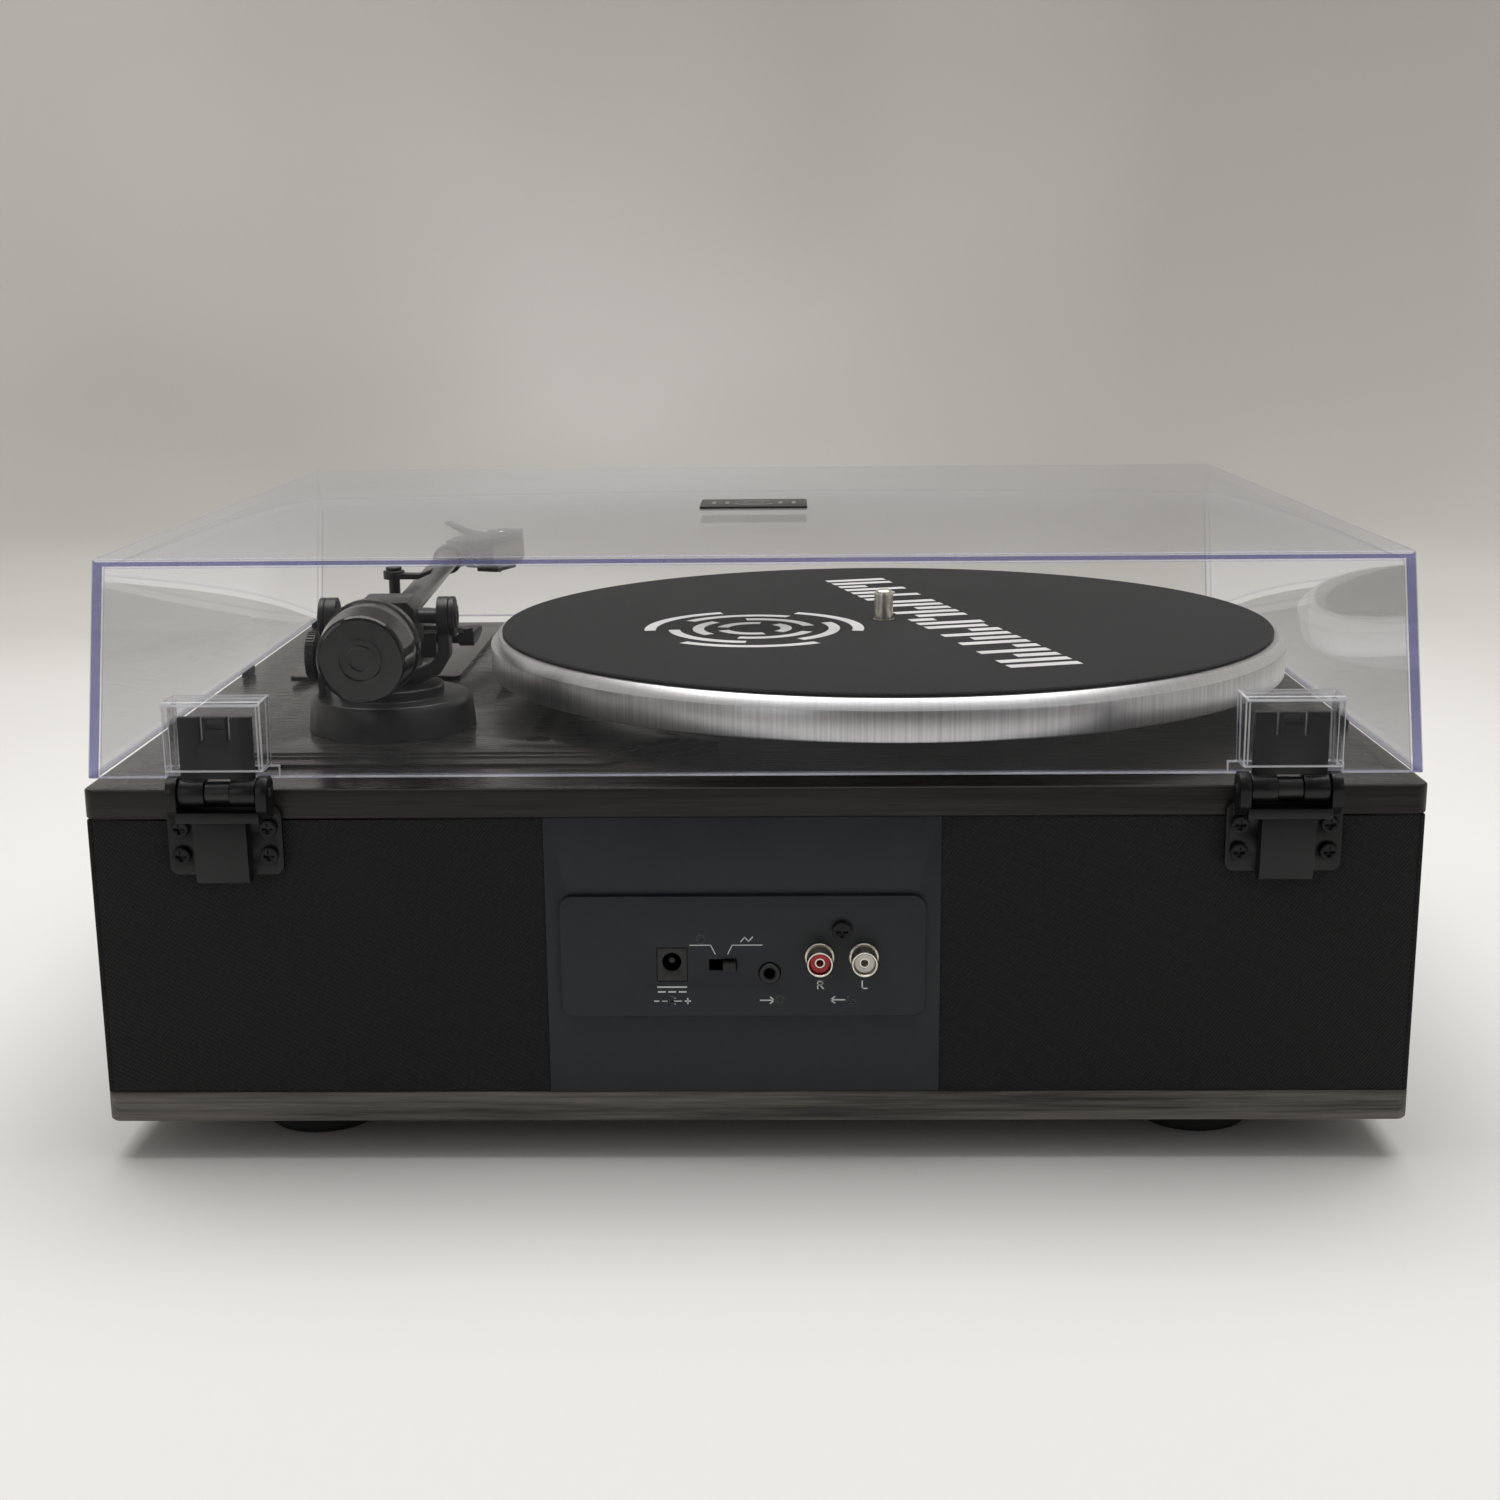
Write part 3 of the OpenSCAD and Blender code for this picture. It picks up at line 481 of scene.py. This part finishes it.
BRONZE = moulded("bronze", (0.55, 0.38, 0.16), 0.35, metallic=1.0)
NICKEL = moulded("nickel", (0.74, 0.70, 0.62), 0.26, 600.0, 0.000006, metallic=1.0)
RED = moulded("red_insulator", (0.42, 0.012, 0.022), 0.35)
WHITE = moulded("white_insulator", (0.72, 0.70, 0.66), 0.4)
TUBE = moulded("tube_metal", (0.17, 0.17, 0.175), 0.32, metallic=0.9)
SHELL = moulded("cartridge_grey", (0.34, 0.315, 0.29), 0.5)
STYLUS = moulded("stylus_grey", (0.03, 0.029, 0.027), 0.5)
GREEN = moulded("circuit_green", (0.01, 0.10, 0.04), 0.4)
PAPER = moulded("speaker_paper", (0.02, 0.02, 0.021), 0.8)
PRINT = moulded("white_print", (0.62, 0.63, 0.64), 0.6)
MAT_PRINT = moulded("mat_print", (0.66, 0.66, 0.66), 0.9, 2200.0, 0.0002)
FELT = felt()
PLATTER = turned_metal("platter_metal", SPINDLE, (0.56, 0.56, 0.57), 0.34, painted_glints=0.3)
# Painted highlight: the chamfer is a paler copy of the platter's metal, standing for the light it catches.
CHAMFER = turned_metal("platter_edge", SPINDLE, (0.84, 0.84, 0.85), 0.34)
LID = clear_pane("lid_acrylic", (0.99, 0.99, 0.992), ior=1.32, haze=0.012)
# Painted light: the lid's rounded edges get a milky violet tint that stands for light caught in the acrylic.
LID_EDGE = clear_pane("lid_edge", (0.88, 0.88, 0.95), 1.3, 0.1, 0.42, (0.66, 0.67, 0.82))
# Painted light: a milky violet sheet for the tinted light caught in the lid's edges.
LID_GLOW = clear_pane("lid_glow", (0.68, 0.68, 0.86), 1.1, 0.2, 0.55, (0.34, 0.34, 0.56))
POCKET = clear_pane("pocket_acrylic", (0.985, 0.985, 0.988), 1.22, 0.02, 0.008)
# Painted highlight: the pockets' rounded edges and the lines along the lid's bottom edges are milky white.
POCKET_EDGE = clear_pane("pocket_edge", (0.92, 0.93, 0.96), 1.49, 0.06, 0.75, (0.84, 0.86, 0.90))

# ---------------------------------------------------------------- body


def make_body():
    refine("top_board", DARK_VENEER, 0.9 * MM, 3)
    refine("bottom_board", PALE_VENEER, 1.2 * MM, 3)
    for node in ("wall_cloth", "rear_cloth_left", "rear_cloth_right"):
        refine(node, CLOTH, 0.5 * MM)
    refine("rear_panel", PANEL, 0.3 * MM)
    refine("jack_plate", PANEL, 0.45 * MM, 3)
    refine("armboard", DARK_VENEER, 0.3 * MM)
    refine("control_plate", GLOSS, 0.5 * MM, 3)
    refine("feet", RUBBER, 0.8 * MM, 3)
    for node in ("front_board", "left_board", "right_board", "rear_board"):
        dress(node, RAW_BOARD)
    inner = {"main_bearing": BRONZE, "motor_pulley": BRONZE, "motor": STEEL, "drive_belt": RUBBER,
             "circuit_board": GREEN, "speakers": PAPER, "drive_ring": PLATTER, "hinge_springs": SATIN,
             "hinge_pins": STEEL}
    for node, material in inner.items():
        dress(node, material)


def make_knobs():
    """The two knobs with their grip ribs."""
    grip_rise, ribs_per_mm = 9.5 * MM, 3.4
    for node, joint, radius in (("volume_knob", "volume_turn", 13), ("speed_selector", "speed_turn", 9)):
        refine(node, SATIN, 0.4 * MM, 3)
        place = Vector(JOINTS[joint]["pos_m"])
        place.z = DECK + grip_rise
        rib_ring(node + "_grip", Matrix.Translation(place), SATIN, BODY[node], SLOT[node],
                 int(radius * ribs_per_mm), (radius - 0.85) * MM, 6.5 * MM, 0.9 * MM, 0.7 * MM)


def stroke(bm, points, width=0.42):
    """A printed line through (right, up) points in millimetres, as seen from the back."""
    sunk, proud = -0.02 * MM, 0.07 * MM
    for (u0, v0), (u1, v1) in zip(points, points[1:]):
        length = math.hypot(u1 - u0, v1 - v0)
        angle = math.atan2(v1 - v0, u1 - u0)
        turn = Matrix.Translation((-(u0 + u1) / 2 * MM, PLATE_Y, (v0 + v1) / 2 * MM)) @ Matrix.Rotation(
            angle, 4, "Y")
        reach = (length + width) / 2 * MM
        box_mesh(bm, (-reach, sunk, -width / 2 * MM), (reach, proud, width / 2 * MM), turn)


def circle_points(u, v, radius, start=0.0, sweep=360.0, steps=20):
    """Points along an arc, for stroke."""
    return [(u + radius * math.cos(math.radians(start + sweep * k / steps)),
             v + radius * math.sin(math.radians(start + sweep * k / steps))) for k in range(steps + 1)]


def make_print():
    """Plain icons beside the sockets: current, polarity, signal in, signal out, right and left."""
    current_at, polarity_v = (-25.8, 58.4), 54.5
    arrows = ((5.8, 54.7, 1), (28.3, 54.8, -1))
    right_at, left_u = (21.2, 58.6), 35.2
    bm = bmesh.new()
    u, v = current_at
    stroke(bm, [(u - 4.5, v + 0.8), (u + 4.5, v + 0.8)], 0.5)
    for k in (-1, 0, 1):
        stroke(bm, [(u + k * 3.3 - 1.0, v - 0.8), (u + k * 3.3 + 1.0, v - 0.8)], 0.5)
    v = polarity_v
    stroke(bm, [(u - 5.6, v), (u - 4.4, v)])
    stroke(bm, circle_points(u, v, 1.3, 50, 260), 0.36)
    stroke(bm, circle_points(u, v, 0.25), 0.36)
    stroke(bm, [(u - 3.1, v), (u - 1.7, v)], 0.3)
    stroke(bm, [(u + 0.4, v), (u + 2.9, v)], 0.3)
    stroke(bm, [(u + 4.1, v), (u + 5.7, v)])
    stroke(bm, [(u + 4.9, v - 0.8), (u + 4.9, v + 0.8)])
    stroke(bm, [(-20.0, 73.1), (-13.4, 73.1), (-12.0, 70.2)], 0.3)
    stroke(bm, [(2.8, 73.1), (-6.6, 73.1), (-8.0, 70.2)], 0.3)
    stroke(bm, circle_points(-16.6, 75.0, 1.1))
    stroke(bm, circle_points(-16.6, 75.0, 0.3))
    stroke(bm, [(-3.8, 74.3), (-2.6, 75.7), (-1.4, 74.3), (-0.2, 75.7)], 0.36)
    for u, v, way in arrows:
        stroke(bm, circle_points(u + 2.6, v, 1.1))
        stroke(bm, [(u - 3.6, v), (u + 0.6, v)])
        tip = u + 0.8 if way > 0 else u - 3.8
        stroke(bm, [(tip - way * 1.2, v + 1.0), (tip, v), (tip - way * 1.2, v - 1.0)])
    u, v = right_at
    stroke(bm, [(u - 0.8, v), (u - 0.8, v + 2.4), (u + 0.5, v + 2.4), (u + 0.8, v + 1.8), (u + 0.5, v + 1.2),
                (u - 0.8, v + 1.2)])
    stroke(bm, [(u, v + 1.2), (u + 0.9, v)])
    u = left_u
    stroke(bm, [(u - 0.7, v + 2.4), (u - 0.7, v), (u + 0.8, v)])
    bmesh.ops.recalc_face_normals(bm, faces=bm.faces)
    to_piece("socket_marks", bm, PRINT, "plinth", "panel_plastic")


def make_sockets():
    """The phono pair, the current and aux sockets, the mode switch and the plate's screw."""
    for node, insert in (("rca_red", RED), ("rca_white", WHITE)):
        low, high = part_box(node)
        base = Vector(((low[0] + high[0]) / 2, PLATE_Y, (low[2] + high[2]) / 2))
        matrix = axis_frame(base, (0, 1, 0))
        shell = [(0, -8), (4.15, -8), (4.15, 0.02), (4.65, 0.02), (4.65, 0.8), (4.45, 1.0), (4.15, 1.0),
                 (4.15, 7.6), (3.95, 8.0), (3.6, 8.0), (3.45, 7.8), (3.45, 1.2), (0, 1.2)]
        closed_lathe(node + "_shell", shell, matrix, NICKEL, "plinth", SLOT[node], node, steps=64)
        core = [(0, 1.1), (3.3, 1.1), (3.3, 6.2), (3.0, 6.6), (1.75, 6.6), (1.6, 6.4), (1.6, 1.6), (0, 1.6)]
        closed_lathe(node + "_insulator", core, matrix, insert, "plinth", SLOT[node], steps=48)
        sleeve = [(1.55, 1.7), (1.55, 6.3), (1.2, 6.3), (1.2, 1.7)]
        closed_lathe(node + "_contact", sleeve, matrix, NICKEL, "plinth", SLOT[node], steps=32, ring=True)
    refine("dc_jack", SOCKET, 0.2 * MM)
    low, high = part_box("aux_jack")
    place = Vector(((low[0] + high[0]) / 2, PLATE_Y, (low[2] + high[2]) / 2))
    refine("aux_jack", SOCKET, 0.15 * MM)
    rim = [(3.3, 0.72), (3.1, 1.0), (2.2, 1.0), (1.9, 0.72)]
    closed_lathe("aux_rim", rim, axis_frame(place, (0, 1, 0)), SOCKET, "plinth", SLOT["aux_jack"],
                 steps=48, ring=True)
    refine("mode_switch", SOCKET, 0.15 * MM)
    low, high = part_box("mode_switch")
    bm = bmesh.new()
    for k in range(4):
        x = low[0] + (0.55 + k * 0.95) * MM
        box_mesh(bm, (x - 0.2 * MM, high[1] - 0.1 * MM, low[2] + 0.2 * MM),
                 (x + 0.2 * MM, high[1] + 0.35 * MM, high[2] - 0.2 * MM))
    bmesh.ops.recalc_face_normals(bm, faces=bm.faces)
    to_piece("switch_ribs", bm, SOCKET, "mode_switch", "socket_plastic")
    refine("plate_screw", SCREW, 0.2 * MM)


# ---------------------------------------------------------------- platter


def make_platter():
    """The platter with its chamfer in a paler metal as a painted highlight, the felt mat and the record spindle,
    in heights above the deck.
    """
    chamfer_low, chamfer_high = 21.9, 25.2
    matrix = Matrix.Translation((SPINDLE.x, SPINDLE.y, DECK))
    rim = [(4, 5), (12, 5), (12, 19), (138, 19), (138, 11.9), (138.4, 11.5), (149.3, 11.5), (149.8, 11.7),
           (150, 12.2), (150, 21.45), (149.85, 21.85), (147.3, 25.1), (146.9, 25.4), (4, 25.4)]
    bm = bmesh.new()
    lathe(bm, in_metres(rim + rim[:1]), matrix, ROUND_STEPS)
    bmesh.ops.remove_doubles(bm, verts=bm.verts, dist=WELD)
    bmesh.ops.recalc_face_normals(bm, faces=bm.faces)
    for face in bm.faces:
        high = (face.calc_center_median().z - DECK) / MM
        face.material_index = 1 if chamfer_low < high < chamfer_high else 0
    to_piece("platter_disc", bm, [PLATTER, CHAMFER], "platter", "platter_metal", "platter", edge_angle=25)
    mat = [(4.2, 25.42), (145.0, 25.42), (145.5, 25.8), (145.6, 26.3), (145.2, 26.75), (144.4, 26.9),
           (100, 26.93), (5.0, 26.9), (4.3, 26.7)]
    closed_lathe("felt_mat", mat, matrix, FELT, "platter", "felt", "slip_mat", steps=ROUND_STEPS, ring=True)
    top = [(0, -25.5), (4, -25.5), (4, 27.0), (3.58, 27.0), (3.58, 36.4), (3.45, 37.2), (3.05, 37.9),
           (2.3, 38.35), (1.2, 38.57), (0, 38.6)]
    closed_lathe("spindle_pin", top, matrix, NICKEL, "platter", "nickel", "spindle", steps=64)


def flat_ribbon(bm, centre, radius, width, start, sweep, z0, z1, steps):
    """A band bent round centre, with a small thickness."""
    rows = []
    for k in range(steps + 1):
        a = math.radians(start + sweep * k / steps)
        out = Vector((math.cos(a), math.sin(a), 0))
        rows.append([bm.verts.new(centre + out * r * MM + Vector((0, 0, z * MM)))
                     for r, z in ((radius - width / 2, z0), (radius + width / 2, z0),
                                  (radius + width / 2, z1), (radius - width / 2, z1))])
    for a, b in zip(rows, rows[1:]):
        for k in range(4):
            bm.faces.new([a[k], a[(k + 1) % 4], b[(k + 1) % 4], b[k]])
    bm.faces.new(rows[0][::-1])
    bm.faces.new(rows[-1])


def make_mat_print():
    """White marks on the felt: broken rings on one side of the spindle and a row of bars on the other."""
    bm = bmesh.new()
    base = Vector((0, 0, DECK))
    emblem = base + Vector((1 * MM, 18 * MM, 0))
    for ring, (radius, turn) in enumerate(((12, 20), (21, 75), (30, 5), (39, 50))):
        for k in range(3):
            flat_ribbon(bm, emblem, radius, 4.2, turn + k * 120, 88 - ring * 4, PRINT_LOW, PRINT_HIGH, 18)
    start, end = Vector((-40, -112, 0)) * MM, Vector((-99, 100, 0)) * MM
    along = (end - start).normalized()
    across = Vector((-along.y, along.x, 0))
    heights = (26, 26, 12, 26, 18, 26, 8, 22, 26, 14, 26, 20, 10, 26, 24, 12, 26, 18, 26, 9, 26, 16, 26, 26)
    length = (end - start).length
    half, tall = 2.6 * MM, max(heights)
    for k, height in enumerate(heights):
        spot = base + start + along * length * (k + 0.5) / len(heights)
        matrix = Matrix.Translation(spot) @ Matrix((along, across, Vector((0, 0, 1)))).transposed().to_4x4()
        lift = (tall - height) / 2 * MM * (1 if k % 2 else -1)
        low = (-half, -height / 2 * MM + lift, PRINT_LOW * MM)
        high = (half, height / 2 * MM + lift, PRINT_HIGH * MM)
        box_mesh(bm, low, high, matrix)
    bmesh.ops.recalc_face_normals(bm, faces=bm.faces)
    to_piece("mat_marks", bm, MAT_PRINT, "platter", "felt")


# ---------------------------------------------------------------- tonearm


def arm_point(s):
    """A point on the tube's axis, s metres behind the pivot."""
    return Vector((PIVOT.x, PIVOT.y, DECK + TUBE_RISE)) + ARM_AXIS * s


def make_arm():
    """The arm's mount, tube and head, with the dial's grip and the yoke's two round bosses."""
    boss_reach = 23.4
    for node in ("arm_base", "arm_yoke", "arm_housing", "arm_rest", "arm_clip", "cue_column", "cue_lift",
                 "cue_lever", "headshell"):
        refine(node, SATIN, 0.45 * MM, 3)
    refine("yoke_caps", SATIN, 0.6 * MM, 3)
    refine("anti_skate_dial", SATIN, 0.3 * MM, 2)
    refine("arm_tube", TUBE, 0.3 * MM)
    refine("cartridge", SHELL, 0.6 * MM, 3)
    refine("stylus", STYLUS, 0.2 * MM)
    dial = Vector(JOINTS["anti_skate_turn"]["pos_m"]) + Vector((0.2 * MM, 0, 0))
    rib_ring("anti_skate_grip", axis_frame(dial, (1, 0, 0)), SATIN, "anti_skate_dial", "arm_plastic", 40,
             8.5 * MM, 2.4 * MM, 0.7 * MM, 0.7 * MM)
    for side in (-1, 1):
        turn = Vector(JOINTS["arm_tilt"]["axis"]) * -side
        hub = Vector(JOINTS["arm_tilt"]["pos_m"])
        face = hub + turn * boss_reach * MM
        boss = [(0, -0.1), (4.4, -0.1), (4.4, 0.25), (4.0, 0.6), (2.0, 0.6), (1.7, 0.3), (0, 0.3)]
        closed_lathe("yoke_boss_" + ("out" if side > 0 else "in"), boss, axis_frame(face, turn), SATIN,
                     "arm_yoke", "arm_plastic", steps=48)


def make_counterweight():
    """The weight from its rear face forward, and the force dial, each with its grip ribs."""
    weight_back, knurl_ahead, dial_back = 59.5 * MM, 21.4 * MM, 27.5 * MM
    matrix = axis_frame(arm_point(weight_back), -ARM_AXIS)
    body = [(0, 0.5), (3.4, 0.5), (3.5, 0.1), (3.8, 0), (4.4, 0), (4.7, 0.1), (4.8, 0.5), (6.6, 0.5),
            (6.8, 0.15), (7.1, 0), (12.9, 0), (13.7, 0.2), (14.3, 0.9), (15.45, 11.5), (15.5, 12),
            (15.5, 18.8), (15.9, 19.2), (16.0, 19.5), (16.0, 23.3), (15.6, 23.8), (14.8, 24), (4.2, 24),
            (4.05, 23.7), (4.05, 6.5), (0, 6.5)]
    closed_lathe("counterweight_body", body, matrix, WEIGHT, "counterweight", "weight_metal",
                 "counterweight", steps=160, edge_angle=12.0)
    grip = matrix @ Matrix.Translation((0, 0, knurl_ahead))
    rib_ring("counterweight_knurl", grip, WEIGHT, "counterweight", "weight_metal", 96, 16.0 * MM, 3.6 * MM,
             0.5 * MM, 0.5 * MM)
    refine("force_dial", SATIN, 0.4 * MM)
    ring = axis_frame(arm_point(dial_back), -ARM_AXIS)
    rib_ring("force_dial_grip", ring, SATIN, "force_dial", "arm_plastic", 60, 12.5 * MM, 4.2 * MM, 0.6 * MM,
             0.5 * MM)


def make_head_details():
    """Screws through the headshell and the four thin wires behind the cartridge."""
    low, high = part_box("cartridge")
    centre = (Vector(low) + Vector(high)) / 2
    turn = Matrix.Translation((centre.x, centre.y, DECK + SHELL_RISE)) @ Matrix.Rotation(HEAD_TURN, 4, "Z")
    for k, u in enumerate((-4.2, 4.2)):
        head = [(0, -0.1), (1.6, -0.1), (1.6, 0.7), (1.2, 1.1), (0, 1.1)]
        closed_lathe(f"shell_screw_{k + 1}", head, turn @ Matrix.Translation((u * MM, 0, 0)), STEEL, "arm",
                     "arm_plastic", steps=24)
    colours = {"wire_white": (0.7, 0.7, 0.68), "wire_red": (0.5, 0.02, 0.03),
               "wire_green": (0.02, 0.28, 0.08), "wire_blue": (0.03, 0.08, 0.4)}
    for k, (name, colour) in enumerate(colours.items()):
        u = (k - 1.5) * 2.2 * MM
        points = []
        for i in range(13):
            t = i / 12
            points.append(turn @ Vector((u * (0.55 + 0.45 * t), (26 - 13 * t) * MM,
                                         (-8.5 - 2.6 * math.sin(math.pi * t) - 1.5 * t) * MM)))
        bm = bmesh.new()
        tube_mesh(bm, points, 0.35 * MM)
        bmesh.ops.recalc_face_normals(bm, faces=bm.faces)
        to_piece(name, bm, moulded(name, colour, 0.5), "arm", "arm_plastic")


# ---------------------------------------------------------------- hinges and lid


def make_hinges():
    for node in ("hinge_bracket_left", "hinge_bracket_right", "hinge_covers", "hinge_leaf_left",
                 "hinge_leaf_right"):
        refine(node, HINGE, 0.35 * MM, 2)
    refine("hinge_screws", SCREW, 0.25 * MM)


def make_clear(node, width, pane, edge):
    """A clear part whose rounded edges gather the light."""
    bm = node_bmesh(node)
    soften(bm, width, 3, material=1)
    return to_piece(node + "_shell", bm, [pane, edge], BODY[node], SLOT[node], node)


def make_edge_glow():
    """Tinted light caught in the thickness of the lid's rear and upper edges, and pale light along its bottom
    edges, painted in as thin milky sheets.
    """
    points = [v.co.copy() for v in frame["nodes"]["dust_cover"].data.vertices]
    low, high = (Vector(v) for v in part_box("dust_cover"))
    centre = (low + high) / 2

    def pair(side, end, upper):
        """The outer and inner corners of the shell in one octant."""
        near = [p for p in points if (p.x - centre.x) * side > 0 and (p.y - centre.y) * end > 0
                and (p.z > centre.z) == upper]
        reach = [p.z if upper else abs(p.x - centre.x) for p in near]
        return near[reach.index(max(reach))], near[reach.index(min(reach))]

    # Shares of the wall's thickness, from its outer face to its inner one.
    skin, core, top_skin, foot_core = 0.12, 0.9, 0.4, 0.88
    half_sheet = 0.08
    # Material indices: 0 is the painted tinted edge light, 1 the painted pale highlight along the bottom edges.
    tinted, pale = 0, 1
    bm = bmesh.new()
    spans = [((s, 1, False), (s, 1, True), skin, core, tinted) for s in (-1, 1)]
    spans.append(((-1, 1, True), (1, 1, True), top_skin, core, tinted))
    spans.append(((-1, 1, False), (1, 1, False), skin, foot_core, pale))
    spans += [((s, 1, False), (s, -1, False), skin, foot_core, pale) for s in (-1, 1)]
    for first, second, near, far, shade in spans:
        (a, b), (c, d) = pair(*first), pair(*second)
        loop = [a.lerp(b, near), a.lerp(b, far), c.lerp(d, far), c.lerp(d, near)]
        start = len(bm.faces)
        normal = (loop[1] - loop[0]).cross(loop[2] - loop[1]).normalized() * half_sheet * MM
        under = [bm.verts.new(p - normal) for p in loop]
        over = [bm.verts.new(p + normal) for p in loop]
        bm.faces.new(under[::-1])
        bm.faces.new(over)
        for k in range(4):
            bm.faces.new([under[k], under[(k + 1) % 4], over[(k + 1) % 4], over[k]])
        for face in list(bm.faces)[start:]:
            face.material_index = shade
    bmesh.ops.recalc_face_normals(bm, faces=bm.faces)
    to_piece("lid_edge_glow", bm, [LID_GLOW, POCKET_EDGE], "lid", "clear_acrylic")


def make_lid():
    """The clear lid, its pockets and bumpers, and the badge plate, let in a little to leave its marks room."""
    sink, mark_base, mark_rise = 0.1 * MM, 0.13 * MM, 0.12
    make_clear("dust_cover", 0.6 * MM, LID, LID_EDGE)
    make_edge_glow()
    make_clear("hinge_pockets", 0.45 * MM, POCKET, POCKET_EDGE)
    refine("lid_bumpers", RUBBER, 0.3 * MM)
    low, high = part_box("lid_badge")
    plate = node_bmesh("lid_badge")
    for vert in plate.verts:
        if vert.co.z > high[2] - 0.01 * MM:
            vert.co.z -= sink
    soften(plate, 0.25 * MM)
    to_piece("lid_badge_shell", plate, SATIN, BODY["lid_badge"], SLOT["lid_badge"], "lid_badge")
    centre = Vector(((low[0] + high[0]) / 2, (low[1] + high[1]) / 2, high[2] - mark_base))
    bm = bmesh.new()
    for radius in (4.0, 7.5):
        for start in (20, 200):
            flat_ribbon(bm, centre, radius, 1.1, start, 140, 0, mark_rise, 16)
    for k in range(-3, 4):
        if abs(k) > 1:
            box_mesh(bm, (centre.x + (k * 5 - 0.7) * MM, centre.y - 4 * MM, centre.z),
                     (centre.x + (k * 5 + 0.7) * MM, centre.y + 4 * MM, centre.z + mark_rise * MM))
    bmesh.ops.recalc_face_normals(bm, faces=bm.faces)
    to_piece("badge_marks", bm, STEEL, "lid", "badge_metal")


# ---------------------------------------------------------------- scene


def make_stage():
    """A round floor that curves up into a wall, the sky and three soft lights."""
    bm = bmesh.new()
    flat, curve, height = 1.7, 0.7, 2.6
    profile = [(0, 0), (0.4, 0), (0.9, 0)]
    for k in range(13):
        a = math.radians(90 * k / 12)
        profile.append((flat + curve * math.sin(a), curve * (1 - math.cos(a))))
    profile.append((flat + curve, height))
    lathe(bm, profile, Matrix(), 72)
    for face in bm.faces:
        face.smooth = True
    mesh = bpy.data.meshes.new("floor")
    bm.to_mesh(mesh)
    bm.free()
    mesh.materials.append(studio_floor())
    floor = bpy.data.objects.new("floor", mesh)
    bpy.context.scene.collection.objects.link(floor)
    world = bpy.data.worlds.new("studio")
    world.use_nodes = True
    sky = world.node_tree.nodes["Background"]
    sky.inputs["Color"].default_value = (0.80, 0.79, 0.77, 1)
    sky.inputs["Strength"].default_value = 0.52
    bpy.context.scene.world = world
    bpy.context.scene.view_settings.view_transform = "Standard"
    middle = (0, 0, 0.1)
    add_light("ceiling", (0.0, -0.3, 1.9), middle, (2.4, 1.4), 38, (1.0, 0.985, 0.96))
    add_light("window", (0.9, 1.5, 0.75), middle, (0.5, 1.1), 2)
    add_light("fill", (-1.2, 1.3, 0.9), middle, (0.9, 0.9), 1.5, (0.97, 0.98, 1.0))


add_camera()
make_stage()
make_body()
make_knobs()
make_print()
make_sockets()
make_platter()
make_mat_print()
make_arm()
make_counterweight()
make_head_details()
make_hinges()
make_lid()
